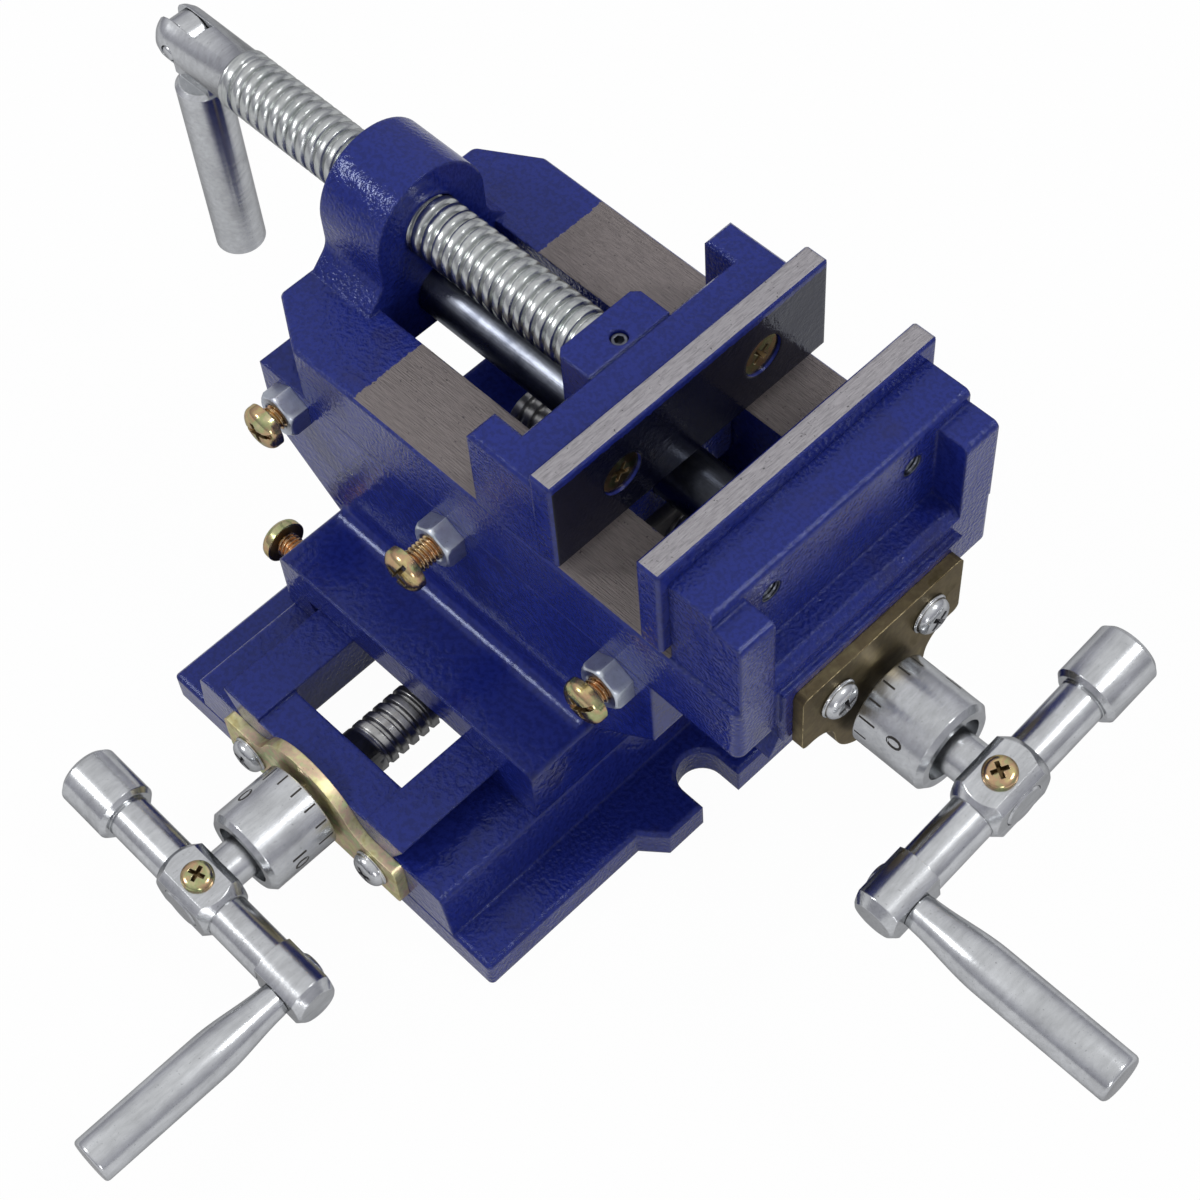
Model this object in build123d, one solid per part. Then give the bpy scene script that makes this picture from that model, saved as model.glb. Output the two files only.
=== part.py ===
from build123d import *
import os
from math import radians, tan

# Cross slide vise. Sizes in millimetres. The origin is the middle of the base's underside, +Z up.
# +X runs from the clamp screw to the crank of the long slide, +Y away from the crank of the base slide.

# Fits
run_clear = 0.05
slide_clear = 0.05
shoulder_clear = 0.1

# Where the slides stand
saddle_y = 17.0
fixed_face_x = 58.1
jaw_opening = 22.0

# Base casting
base_width = 105.0
base_length = 129.4
flange_thick = 8.0
flange_corner_r = 1.2
lug_out = 5.4
lug_front = 16.0
lug_back = 25.5
lug_run = 4.5
notch_width = 11.2
notch_depth = 11.4
block_foot_half = 41.3
ledge_half = 39.4
ledge_z = 21.5
base_way_half = 29.0
base_way_depth = 8.0
way_angle = 60.0
end_wall = 10.6
side_wall = 8.0
window_half = 17.4
window_lip = 13.5
window_corner_r = 0.8
window_sill = 1.0
cast_r = 1.6
core_rise = 12.0
core_flare = 1.5

# Lead screws of both slides
screw_major_r = 6.0
shaft_r = 4.9
y_axis_z = 19.5
x_axis_z = 62.5
y_screw_reach = 50.0
x_screw_reach = -15.0
screw_edge = 1.0
thrust_collar_r = 8.5
thrust_collar_len = 4.0

# Bearing plates
plate_thick = 2.7
plate_corner_r = 1.6
lobe_blend_r = 7.0
y_plate_half = 28.0
y_plate_low = 8.5
y_plate_high = 21.7
y_plate_lobe_r = 15.0
y_plate_screw_x = 20.0
y_plate_screw_z = 15.1
x_plate_half = 22.8
x_plate_low = 67.6
x_plate_high = 85.6
x_plate_lobe_r = 13.2
x_plate_screw_y = 13.2
x_plate_screw_z = 76.4
plate_screw_r = 2.4
plate_screw_len = 10.0
plate_screw_head_r = 4.25
plate_screw_head = 2.9

# Dials
dial_r = 10.5
dial_len = 17.2
dial_bevel = 1.2
dial_recess_r = 7.4
dial_recess = 3.0
x_dial_gap = 2.1
y_dial_gap = 1.4

# Cranks
x_hub_reach = 31.0
y_hub_reach = 29.8
hub_len = 12.0
hub_width = 16.5
hub_height = 13.0
hub_round_r = 7.7
hub_chamfer = 2.2
arm_r = 5.1
cap_offset = 31.7
cap_len = 14.5
cap_r = 7.2
cap_edge = 1.0
boss_offset = 29.4
boss_outer = 7.4
boss_inner = 6.3
boss_r = 6.5
boss_flat = 4.9
boss_edge = 2.0
grip_reach = 54.1
grip_neck_r = 3.8
grip_r = 5.3
grip_taper_end = 22.0
grip_edge = 0.7
rivet_r = 2.3
rivet_head_r = 3.4
rivet_head = 0.9
x_crank_tilt = 7.7
y_crank_tilt = 3.4
hub_screw_head_r = 3.5
hub_screw_head = 1.8
hub_screw_r = 2.0
hub_screw_bite = 2.0

# Saddle casting
slab_half_x = 40.0
slab_half_y = 54.2
slab_top_z = 39.5
channel_half_x = 58.6
channel_half_y = 36.0
overhang_foot_z = 36.0
overhang_top_z = 54.9
channel_floor_z = 50.0
seam_z = 75.4
wing_r = 4.0

# Gibs and their screws
gib_thick = 2.5
gib_inset = 1.0
gib_end_clear = 0.15
gib_screw_r = 3.0
gib_dog_r = 2.0
gib_dog_bite = 1.0
gib_nut_af = 10.0
gib_nut_thick = 5.0
gib_nut_edge = 0.7
gib_head_r = 5.2
gib_head = 3.6
upper_gib_screw_x = 48.7
upper_gib_screw_z = 69.6
upper_gib_stand = [9.1, 12.8, 9.2]
lower_gib_screw_y = 46.0
lower_gib_screw_z = 25.5
lower_gib_stand = [12.0, 10.6, 11.4]

# Slide nuts under and inside the saddle
nut_half_across = 11.0
nut_half_along = 11.0
x_nut_x = 20.0
y_nut_half_across = 14.0
y_nut_wall = 3.4
x_nut_wall = 3.6
x_nut_foot_half = 24.0
x_nut_foot = 5.0
x_nut_edge = 2.0
nut_screw_r = 2.4
nut_screw_head_r = 4.0
nut_screw_head = 4.6
foot_screw_head = 2.4
y_nut_screw_x = 9.9
y_nut_screw_bite = 9.0
x_nut_screw_x = 19.0
x_nut_screw_bite = 8.0

# Vise body
bed_top_z = 91.6
bed_half_y = 36.0
bed_rear_x = -57.6
bed_front_x = 81.9
rear_half_y = 27.7
rear_chamfer_run = 13.5
bed_corner_r = 2.0
rail_half = 27.5
rail_depth = 10.0
slot_half = 16.5
slot_rear_x = -38.8
head_half_y = 35.0
head_top_z = 116.4
head_step_x = 74.6
head_pad = 1.7
head_pad_half = 25.2
head_pad_high = 87.6
ear_top_z = 113.1
ear_thick = 9.0
pocket_floor_z = 93.0
pocket_lip = 2.0
head_r = 1.5
web_low_z = 71.2
rear_boss_r = 14.6
rear_boss_x = -56.8
clamp_axis_z = 104.5
boss_foot_r = 5.0

# Guide rod
rod_r = 6.5
rod_z = 85.1
rod_bite = 12.0

# Jaw plates and their screws
plate_half_y = 37.5
jaw_plate_thick = 5.7
jaw_plate_low = 95.4
jaw_plate_high = 121.0
jaw_plate_edge = 0.5
jaw_screw_y = 19.3
jaw_screw_z = 108.2
jaw_screw_r = 2.5
jaw_screw_head_r = 4.9
jaw_screw_sink = 0.6
jaw_screw_len = 14.0

# Moving jaw
jaw_bar = 11.4
jaw_half_y = 36.0
jaw_top_z = 114.5
jaw_lug_len = 7.6
jaw_lug_width = 7.4
jaw_boss_len = 9.3
jaw_boss_half = 11.0
jaw_floor_clear = 0.05
guide_wall = 2.6
guide_side_clear = 0.3
nose_bore_len = 13.0
set_screw_r = 1.9
set_screw_len = 6.0
groove_width = 4.4
groove_r = 3.2
set_screw_tip_gap = 0.15

# Clamp screw, fork and handle
clamp_r = 7.0
nose_r = 5.0
thread_rear_x = -98.7
fork_r = 6.5
fork_pin_x = -116.7
fork_end_x = -123.4
fork_slot = 5.0
fork_slot_reach = 6.5
fork_nose = [(0.0, 2.7), (1.3, 5.2), (3.9, 6.5)]
pin_r = 2.0
pin_len = 13.2
pin_edge = 0.3
handle_r = 6.0
tang_thick = 4.6
tang_r = 5.8
handle_shoulder = 12.5
handle_end_z = 38.6
handle_edge = 1.0

# Sizes that follow from the ones above
flare = 1 / tan(radians(way_angle))
gib_run = gib_thick * (1 + flare ** 2) ** 0.5
base_way_z = ledge_z + base_way_depth
rail_low_z = seam_z - rail_depth
base_half_x = base_width / 2
base_half_y = base_length / 2
y_plate_front = -base_half_y - plate_thick
head_pad_x = bed_front_x + head_pad
x_plate_front = head_pad_x + plate_thick
x_hub_x = x_plate_front + x_hub_reach
y_hub_y = y_plate_front - y_hub_reach
jaw_face_x = fixed_face_x - jaw_opening
fixed_back_x = fixed_face_x + jaw_plate_thick
jaw_front_x = jaw_face_x - jaw_plate_thick
jaw_rear_x = jaw_front_x - jaw_bar
jaw_boss_x = jaw_rear_x - jaw_boss_len
saddle_face_y = saddle_y - channel_half_y


def prism_x(face, x0, x1):
    """A face drawn in Y and Z, run along X."""
    return extrude(Plane.YZ.offset(x0) * face, x1 - x0)


def prism_y(face, y0, y1):
    """A face drawn in X and Z, run along Y."""
    return extrude(Plane.XZ.offset(-y1) * face, y1 - y0)


def prism_z(face, z0, z1):
    """A face drawn in X and Y, run along Z."""
    return extrude(Plane.XY.offset(z0) * face, z1 - z0)


def polygon(points, radius=0):
    """A closed face with straight sides, its corners rounded by one radius or by a list."""
    if radius == 0:
        return make_face(Polyline(*points, close=True))
    return make_face(FilletPolyline(*points, radius=radius, close=True))


def mirrored(points):
    """The outline of a symmetric section from its right half, bottom to top."""
    return points + [(-u, v) for u, v in reversed(points)]


def box(x0, x1, y0, y1, z0, z1):
    """A block from corner to corner."""
    return Pos((x0 + x1) / 2, (y0 + y1) / 2, (z0 + z1) / 2) * Box(x1 - x0, y1 - y0, z1 - z0)


def bar_x(x0, x1, y, z, radius):
    """A round bar along X."""
    return Pos((x0 + x1) / 2, y, z) * Rot(0, 90, 0) * Cylinder(radius, x1 - x0)


def bar_y(y0, y1, x, z, radius):
    """A round bar along Y."""
    return Pos(x, (y0 + y1) / 2, z) * Rot(90, 0, 0) * Cylinder(radius, y1 - y0)


def bar_z(z0, z1, x, y, radius):
    """A round bar along Z."""
    return Pos(x, y, (z0 + z1) / 2) * Cylinder(radius, z1 - z0)


def turned(points):
    """A turned piece about X from its half outline of (x, radius) points."""
    return revolve(make_face(Polyline(*points, close=True)), Axis.X)


def way_section(half, low, high, grow_left=0.0, grow_right=0.0, flip=1):
    """Dovetail section, `half` each side at its wide edge, which flip -1 puts at the bottom."""
    run = (high - low) * flare
    wide, narrow = (high, low) if flip > 0 else (low, high)
    return polygon([
        (-half - grow_left, wide),
        (half + grow_right, wide),
        (half - run + grow_right, narrow),
        (-half + run - grow_left, narrow),
    ])


def base_flange():
    """Flange with a slotted lug at each side."""
    plate = RectangleRounded(base_width, base_length, flange_corner_r)
    lug_x = base_half_x + lug_out
    inner = base_half_x - flange_corner_r
    for side in (1, -1):
        plate += polygon([
            (side * inner, -lug_front - lug_run),
            (side * base_half_x, -lug_front - lug_run),
            (side * lug_x, -lug_front),
            (side * lug_x, lug_back),
            (side * base_half_x, lug_back + lug_run),
            (side * inner, lug_back + lug_run),
        ])
        end_x = lug_x - notch_depth + notch_width / 2
        plate -= Pos(side * end_x, 0) * Circle(notch_width / 2)
        plate -= Pos(side * (end_x + lug_x) / 2, 0) * Rectangle(lug_x - end_x, notch_width)
    flange = prism_z(plate, 0, flange_thick)
    rim = flange.faces().sort_by(Axis.Z)[-1].outer_wire().edges()
    return chamfer(rim, cast_r / 2)


def base_casting():
    """Hollow base with its slotted flange, the raised block and the dovetail way along Y."""
    neck = base_way_half - base_way_depth * flare
    section = mirrored([
        (block_foot_half, flange_thick),
        (ledge_half, ledge_z),
        (neck, ledge_z),
        (base_way_half, base_way_z),
    ])
    radii = [0, cast_r, 0, 0, 0, 0, cast_r, 0]
    body = base_flange() + prism_y(polygon(section, radii), -base_half_y, base_half_y)
    inside = base_half_y - end_wall
    roof_z = base_way_z - window_lip
    core = mirrored([
        (block_foot_half - side_wall, 0),
        (ledge_half - side_wall, core_rise),
        (window_half + core_flare, roof_z),
    ])
    body -= prism_y(polygon(core), -inside, inside)
    opening = RectangleRounded(2 * window_half, 2 * inside, window_corner_r)
    body -= prism_z(opening, core_rise, base_way_z)
    sill = Rectangle(2 * window_half, base_length)
    body -= prism_z(sill, base_way_z - window_sill, base_way_z)
    body -= bar_y(-base_half_y, -inside, 0, y_axis_z, screw_major_r + run_clear)
    for side in (1, -1):
        hole_end = -base_half_y + plate_screw_len - plate_thick
        body -= bar_y(-base_half_y, hole_end, side * y_plate_screw_x, y_plate_screw_z,
                      plate_screw_r + run_clear)
    return body


def lobed_plate(half, low, high, axis_z, lobe_r, side):
    """Bearing plate outline: a bar with a round lobe about the screw, above it (1) or below (-1)."""
    plate = Pos(0, (low + high) / 2) * RectangleRounded(2 * half, high - low, plate_corner_r)
    lobe = Pos(0, axis_z) * Circle(lobe_r)
    limit = low if side > 0 else high
    keep = Pos(0, limit + side * 2 * lobe_r) * Rectangle(4 * lobe_r, 4 * lobe_r)
    plate += lobe & keep
    edge_z = high if side > 0 else low
    corners = [v for v in plate.vertices() if abs(v.Y - edge_z) < run_clear and abs(v.X) < lobe_r]
    plate = fillet(corners, lobe_blend_r)
    return plate - Pos(0, axis_z) * Circle(shaft_r + run_clear)


def y_bearing_plate():
    """Plate that holds the base screw in the end wall."""
    outline = lobed_plate(y_plate_half, y_plate_low, y_plate_high, y_axis_z, y_plate_lobe_r, 1)
    plate = prism_y(outline, y_plate_front, -base_half_y)
    for side in (1, -1):
        plate -= bar_y(y_plate_front, -base_half_y, side * y_plate_screw_x, y_plate_screw_z,
                       plate_screw_r + run_clear)
    return plate


def x_bearing_plate():
    """Plate that hangs below the fixed jaw and holds the long screw."""
    outline = lobed_plate(x_plate_half, x_plate_low, x_plate_high, x_axis_z, x_plate_lobe_r, -1)
    plate = Pos(0, saddle_y, 0) * prism_x(outline, head_pad_x, x_plate_front)
    for side in (1, -1):
        plate -= bar_x(head_pad_x, x_plate_front, saddle_y + side * x_plate_screw_y,
                       x_plate_screw_z, plate_screw_r + run_clear)
    return plate


def plate_screw():
    """Pan head screw along +X, its head's seat at the origin."""
    crown = plate_screw_head / 3
    return turned([
        (-plate_screw_len, 0),
        (-plate_screw_len, plate_screw_r),
        (0, plate_screw_r),
        (0, plate_screw_head_r),
        (plate_screw_head - crown, plate_screw_head_r),
        (plate_screw_head, plate_screw_head_r - crown),
        (plate_screw_head, 0),
    ])


def y_plate_screws():
    """Two screws of the base screw's plate."""
    screw = Rot(0, 0, -90) * plate_screw()
    return [Pos(side * y_plate_screw_x, y_plate_front, y_plate_screw_z) * screw for side in (1, -1)]


def x_plate_screws():
    """Two screws of the long screw's plate."""
    screw = plate_screw()
    return [Pos(x_plate_front, saddle_y + side * x_plate_screw_y, x_plate_screw_z) * screw
            for side in (1, -1)]


def lead_screw(reach, hub_end, collar_r):
    """Lead screw along +X: thread, thrust collar behind the plate at x = 0, and the shaft to the hub."""
    shoulder = -shoulder_clear
    outline = [
        (-reach, 0),
        (-reach, screw_major_r - screw_edge),
        (-reach + screw_edge, screw_major_r),
    ]
    if collar_r > screw_major_r:
        outline += [
            (shoulder - thrust_collar_len, screw_major_r),
            (shoulder - thrust_collar_len, collar_r),
        ]
    outline += [
        (shoulder, collar_r),
        (shoulder, shaft_r),
        (hub_end, shaft_r),
        (hub_end, 0),
    ]
    screw = turned(outline)
    hub_middle = hub_end - hub_len / 2
    seat_z = shaft_r - hub_screw_bite
    return screw - bar_z(seat_z, shaft_r, hub_middle, 0, hub_screw_r + run_clear)


def hub_screw():
    """Screw that locks the hub to its shaft, its axis along +Z through the hub's middle."""
    top = hub_height / 2
    crown = hub_screw_head / 3
    section = make_face(Polyline(
        (0, shaft_r - hub_screw_bite + shoulder_clear),
        (hub_screw_r, shaft_r - hub_screw_bite + shoulder_clear),
        (hub_screw_r, top),
        (hub_screw_head_r, top),
        (hub_screw_head_r, top + hub_screw_head - crown),
        (hub_screw_head_r - crown, top + hub_screw_head),
        (0, top + hub_screw_head),
        close=True,
    ))
    return revolve(Plane.XZ * section, Axis.Z)


def crank_arm():
    """Crank about X through the hub: cap on one end of the bar at +Y, boss for the grip at -Y."""
    hub = bar_y(-hub_width / 2, hub_width / 2, 0, 0, hub_round_r)
    hub = chamfer(hub.edges().filter_by(GeomType.CIRCLE), hub_chamfer)
    hub &= Box(hub_len, hub_width, hub_height)
    arm = hub + bar_y(-boss_offset, cap_offset, 0, 0, arm_r)
    cap = bar_y(cap_offset - cap_len / 2, cap_offset + cap_len / 2, 0, 0, cap_r)
    cap = chamfer(cap.edges().filter_by(GeomType.CIRCLE), cap_edge)
    boss = bar_y(-boss_offset - boss_outer, -boss_offset + boss_inner, 0, 0, boss_r)
    boss = chamfer(boss.edges().filter_by(GeomType.CIRCLE).sort_by(Axis.Y)[0], boss_edge)
    arm += cap
    arm += boss
    for side in (1, -1):
        far = side * (boss_r + 1)
        near = side * boss_flat
        arm -= box(min(near, far), max(near, far), -boss_offset - boss_outer, -boss_offset + boss_inner,
                   -boss_r, boss_r)
    arm -= bar_x(-boss_r, boss_r, -boss_offset, 0, rivet_r + run_clear)
    arm -= bar_x(-hub_len / 2, hub_len / 2, 0, 0, shaft_r)
    arm -= bar_z(0, hub_height / 2, 0, 0, hub_screw_r + run_clear)
    return arm


def crank_grip(side):
    """Grip along +X that turns on its own rivet through the boss, which is at +Y or -Y."""
    seat = boss_flat + shoulder_clear
    grip = turned([
        (-seat - rivet_head, 0),
        (-seat - rivet_head, rivet_head_r - rivet_head / 2),
        (-seat - rivet_head / 2, rivet_head_r),
        (-seat, rivet_head_r),
        (-seat, rivet_r),
        (seat, rivet_r),
        (seat, grip_neck_r),
        (grip_taper_end, grip_r),
        (grip_reach - grip_edge, grip_r),
        (grip_reach, grip_r - grip_edge),
        (grip_reach, 0),
    ])
    return Pos(0, side * boss_offset, 0) * grip


def dial():
    """Dial sleeve along +X from its back face at x = 0, bevelled and recessed in front."""
    return turned([
        (0, shaft_r),
        (0, dial_r),
        (dial_len - dial_bevel, dial_r),
        (dial_len, dial_r - dial_bevel),
        (dial_len, dial_recess_r),
        (dial_len - dial_recess, dial_recess_r),
        (dial_len - dial_recess, shaft_r),
    ])


def at_x_plate(piece):
    """Place a piece of the long screw's line, drawn from its plate's back face."""
    return Pos(head_pad_x, saddle_y, x_axis_z) * piece


def at_y_plate(piece):
    """Place a piece of the base screw's line, drawn from its plate's back face."""
    return Pos(0, -base_half_y, y_axis_z) * Rot(0, 0, -90) * piece


def on_x_hub(piece):
    """Place a crank piece at the long screw's hub, its cap tilted up."""
    return Pos(x_hub_x, saddle_y, x_axis_z) * Rot(x_crank_tilt, 0, 0) * piece


def on_y_hub(piece):
    """Place a crank piece at the base screw's hub, tilted so that its -X end is up."""
    return Pos(0, y_hub_y, y_axis_z) * Rot(0, 0, -90) * Rot(-y_crank_tilt, 0, 0) * piece


def lower_section():
    """Section of the saddle's lower slab with the dovetail way it rides on cut out."""
    low = ledge_z + slide_clear
    half = base_way_half + slide_clear * 2
    slab = polygon([
        (-slab_half_x, low),
        (slab_half_x, low),
        (slab_half_x, slab_top_z),
        (-slab_half_x, slab_top_z),
    ], [cast_r / 2, cast_r / 2, cast_r, cast_r])
    extra = gib_run + gib_end_clear
    way = way_section(half, ledge_z, base_way_z + slide_clear, extra, 0)
    return slab - way


def upper_core():
    """Section of the saddle's channel: room for the vise body's rails, the gib and the long screw."""
    half = rail_half + slide_clear * 2
    way = way_section(half, rail_low_z - slide_clear, seam_z, gib_run + gib_end_clear, 0, -1)
    height = rail_low_z - channel_floor_z
    core = Pos(0, channel_floor_z + (height + cast_r) / 2) * RectangleRounded(
        2 * half, height + cast_r, cast_r / 2)
    return way + core


def saddle_casting():
    """Cross-shaped saddle: way below along Y, channel above along X, ends sloped under the overhang."""
    lower = prism_y(lower_section(), saddle_y - slab_half_y, saddle_y + slab_half_y)
    flank = polygon(mirrored([
        (slab_half_x - cast_r, overhang_foot_z),
        (channel_half_x, overhang_top_z),
        (channel_half_x, seam_z - slide_clear),
    ]))
    upper = prism_y(flank, saddle_face_y, saddle_y + channel_half_y)
    body = lower + upper
    half = channel_half_y + wing_r
    cove = Pos(0, slab_top_z + wing_r / 2) * Rectangle(2 * half, wing_r)
    for side in (1, -1):
        cove -= Pos(side * half, slab_top_z + wing_r) * Circle(wing_r)
    body += Pos(0, saddle_y, 0) * prism_x(cove, -slab_half_x + cast_r, slab_half_x - cast_r)
    core = Pos(0, saddle_y, 0) * prism_x(upper_core(), -channel_half_x, channel_half_x)
    body -= core
    floor_half = rail_half + slide_clear * 2
    for side in (1, -1):
        ends = sorted((side * slab_half_x, side * channel_half_x))
        body -= box(ends[0], ends[1], saddle_y - floor_half, saddle_y + floor_half, slab_top_z - wing_r,
                    channel_floor_z + cast_r)
    for x in (-upper_gib_screw_x, 0, upper_gib_screw_x):
        body -= bar_y(saddle_face_y, saddle_y, x, upper_gib_screw_z, gib_screw_r + run_clear)
    for y in (-lower_gib_screw_y, 0, lower_gib_screw_y):
        body -= bar_x(-slab_half_x, -base_way_half + gib_screw_r, saddle_y + y, lower_gib_screw_z,
                      gib_screw_r + run_clear)
    for side in (1, -1):
        x = side * y_nut_screw_x
        body -= bar_z(base_way_z, channel_floor_z, x, saddle_y, nut_screw_r + run_clear)
        body -= bar_z(channel_floor_z - nut_screw_head - shoulder_clear, channel_floor_z, x, saddle_y,
                      nut_screw_head_r + run_clear)
        x = x_nut_x + side * x_nut_screw_x
        body -= bar_z(channel_floor_z - x_nut_screw_bite - shoulder_clear, channel_floor_z, x, saddle_y,
                      nut_screw_r + run_clear)
    return body


def gib_section(half, low, high, flip):
    """Section of a gib strip that fills the gap beside a way, on its -side."""
    run = (high - low) * flare
    wide, narrow = (high, low) if flip > 0 else (low, high)
    return polygon([
        (-half, wide),
        (-half - gib_run, wide),
        (-half + run - gib_run, narrow),
        (-half + run, narrow),
    ])


def upper_gib():
    """Gib between the vise body's rail and the saddle's channel wall."""
    low = rail_low_z
    high = seam_z - slide_clear
    half = rail_half + 2 * slide_clear
    strip = Pos(0, saddle_y, 0) * prism_x(gib_section(half, low, high, -1),
                                          -channel_half_x + gib_inset, channel_half_x - gib_inset)
    face_y = upper_gib_face()
    for x in (-upper_gib_screw_x, 0, upper_gib_screw_x):
        strip -= bar_y(face_y - gib_run, face_y + gib_dog_bite + shoulder_clear, x, upper_gib_screw_z,
                       gib_dog_r + run_clear)
    return strip


def upper_gib_face():
    """Where the axis of the upper gib screws meets the gib's back."""
    lean = (upper_gib_screw_z - rail_low_z) * flare
    return saddle_y - rail_half - 2 * slide_clear - gib_run + lean


def lower_gib():
    """Gib between the base's way and the saddle's leg."""
    half = base_way_half + 2 * slide_clear
    low = ledge_z + slide_clear
    strip = prism_y(gib_section(half - slide_clear * flare, low, base_way_z, 1),
                    saddle_y - slab_half_y + gib_inset, saddle_y + slab_half_y - gib_inset)
    face_x = lower_gib_face()
    for y in (-lower_gib_screw_y, 0, lower_gib_screw_y):
        strip -= bar_x(face_x - gib_run, face_x + gib_dog_bite + shoulder_clear, saddle_y + y,
                       lower_gib_screw_z, gib_dog_r + run_clear)
    return strip


def lower_gib_face():
    """Where the axis of the lower gib screws meets the gib's back."""
    lean = (base_way_z - lower_gib_screw_z) * flare
    return -base_way_half - 2 * slide_clear - gib_run + lean


def gib_screw(wall, tip, stand):
    """Gib screw along +X with its outer wall face at x = 0: head `stand` out, dog point `tip` in."""
    crown = gib_head / 3
    neck = tip - gib_dog_bite - gib_screw_r * flare
    return turned([
        (-stand - gib_head / 2, 0),
        (-stand - gib_head / 2, gib_head_r - crown),
        (-stand - gib_head / 2 + crown, gib_head_r),
        (-stand + gib_head / 2, gib_head_r),
        (-stand + gib_head / 2, gib_screw_r),
        (min(neck, wall), gib_screw_r),
        (min(neck, wall), gib_dog_r),
        (tip, gib_dog_r),
        (tip, 0),
    ])


def gib_nut():
    """Hex lock nut along +X from the wall face at x = 0 outward, its corners turned off."""
    across = RegularPolygon(gib_nut_af / 2, 6, major_radius=False)
    nut = prism_x(across, -gib_nut_thick, 0)
    outer = gib_nut_af / 3 ** 0.5
    nut &= turned([
        (-gib_nut_thick, 0),
        (-gib_nut_thick, outer - gib_nut_edge),
        (-gib_nut_thick + gib_nut_edge, outer),
        (0, outer),
        (0, 0),
    ])
    return nut - bar_x(-gib_nut_thick, 0, 0, 0, gib_screw_r + run_clear)


def upper_gib_screws():
    """Three screws through the saddle's side that press the upper gib."""
    depth = upper_gib_face() - saddle_face_y
    wall = depth - gib_screw_r * flare - gib_end_clear
    screws = []
    for x, stand in zip((-upper_gib_screw_x, 0, upper_gib_screw_x), upper_gib_stand):
        screw = gib_screw(wall, depth + gib_dog_bite, stand)
        screws.append(Pos(x, saddle_face_y, upper_gib_screw_z) * Rot(0, 0, 90) * screw)
    return screws


def upper_gib_nuts():
    """Three lock nuts on the saddle's side."""
    return [Pos(x, saddle_face_y, upper_gib_screw_z) * Rot(0, 0, 90) * gib_nut()
            for x in (-upper_gib_screw_x, 0, upper_gib_screw_x)]


def lower_gib_screws():
    """Three screws through the saddle's leg that press the lower gib."""
    depth = lower_gib_face() + slab_half_x
    wall = depth - gib_screw_r * flare - gib_end_clear
    screws = []
    for y, stand in zip((-lower_gib_screw_y, 0, lower_gib_screw_y), lower_gib_stand):
        screw = gib_screw(wall, depth + gib_dog_bite, stand)
        screws.append(Pos(-slab_half_x, saddle_y + y, lower_gib_screw_z) * screw)
    return screws


def lower_gib_nuts():
    """Three lock nuts on the saddle's leg."""
    return [Pos(-slab_half_x, saddle_y + y, lower_gib_screw_z) * gib_nut()
            for y in (-lower_gib_screw_y, 0, lower_gib_screw_y)]


def y_nut():
    """Nut block under the saddle that the base screw runs in."""
    low = y_axis_z - screw_major_r - y_nut_wall
    top = base_way_z + slide_clear
    nut = box(-y_nut_half_across, y_nut_half_across, saddle_y - nut_half_along,
              saddle_y + nut_half_along, low, top)
    nut = chamfer(nut.edges().filter_by(Axis.Z), cast_r)
    nut -= bar_y(saddle_y - nut_half_along, saddle_y + nut_half_along, 0, y_axis_z,
                 screw_major_r + run_clear)
    for side in (1, -1):
        nut -= bar_z(top - y_nut_screw_bite - shoulder_clear, top, side * y_nut_screw_x, saddle_y,
                     nut_screw_r + run_clear)
    return nut


def x_nut():
    """Footed nut on the channel floor that the long screw runs in."""
    top = x_axis_z + screw_major_r + x_nut_wall
    outline = polygon(mirrored([
        (x_nut_foot_half, channel_floor_z),
        (x_nut_foot_half, channel_floor_z + x_nut_foot),
        (nut_half_along, channel_floor_z + x_nut_foot),
        (nut_half_along, top),
    ]), [0, x_nut_edge / 2, x_nut_edge, x_nut_edge / 2, x_nut_edge / 2, x_nut_edge, x_nut_edge / 2, 0])
    nut = prism_y(outline, saddle_y - nut_half_across, saddle_y + nut_half_across)
    nut -= bar_x(-x_nut_foot_half, x_nut_foot_half, saddle_y, x_axis_z, screw_major_r + run_clear)
    top = channel_floor_z + x_nut_foot
    for side in (1, -1):
        x = side * x_nut_screw_x
        nut -= bar_z(channel_floor_z, top, x, saddle_y, nut_screw_r + run_clear)
        nut -= bar_z(top - foot_screw_head, top, x, saddle_y, nut_screw_head_r + run_clear)
    return Pos(x_nut_x, 0, 0) * nut


def nut_screws():
    """Two cap screws hold the lower nut from the channel floor, two low ones the upper nut's foot."""
    screws = []
    for side in (1, -1):
        seat = channel_floor_z - nut_screw_head - shoulder_clear
        x = side * y_nut_screw_x
        low = base_way_z + slide_clear - y_nut_screw_bite
        screws.append(bar_z(low, seat, x, saddle_y, nut_screw_r)
                      + bar_z(seat, seat + nut_screw_head, x, saddle_y, nut_screw_head_r))
        seat = channel_floor_z + x_nut_foot - foot_screw_head
        x = x_nut_x + side * x_nut_screw_x
        low = channel_floor_z - x_nut_screw_bite
        screws.append(bar_z(low, seat, x, saddle_y, nut_screw_r)
                      + bar_z(seat, seat + foot_screw_head, x, saddle_y, nut_screw_head_r))
    return screws


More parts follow.
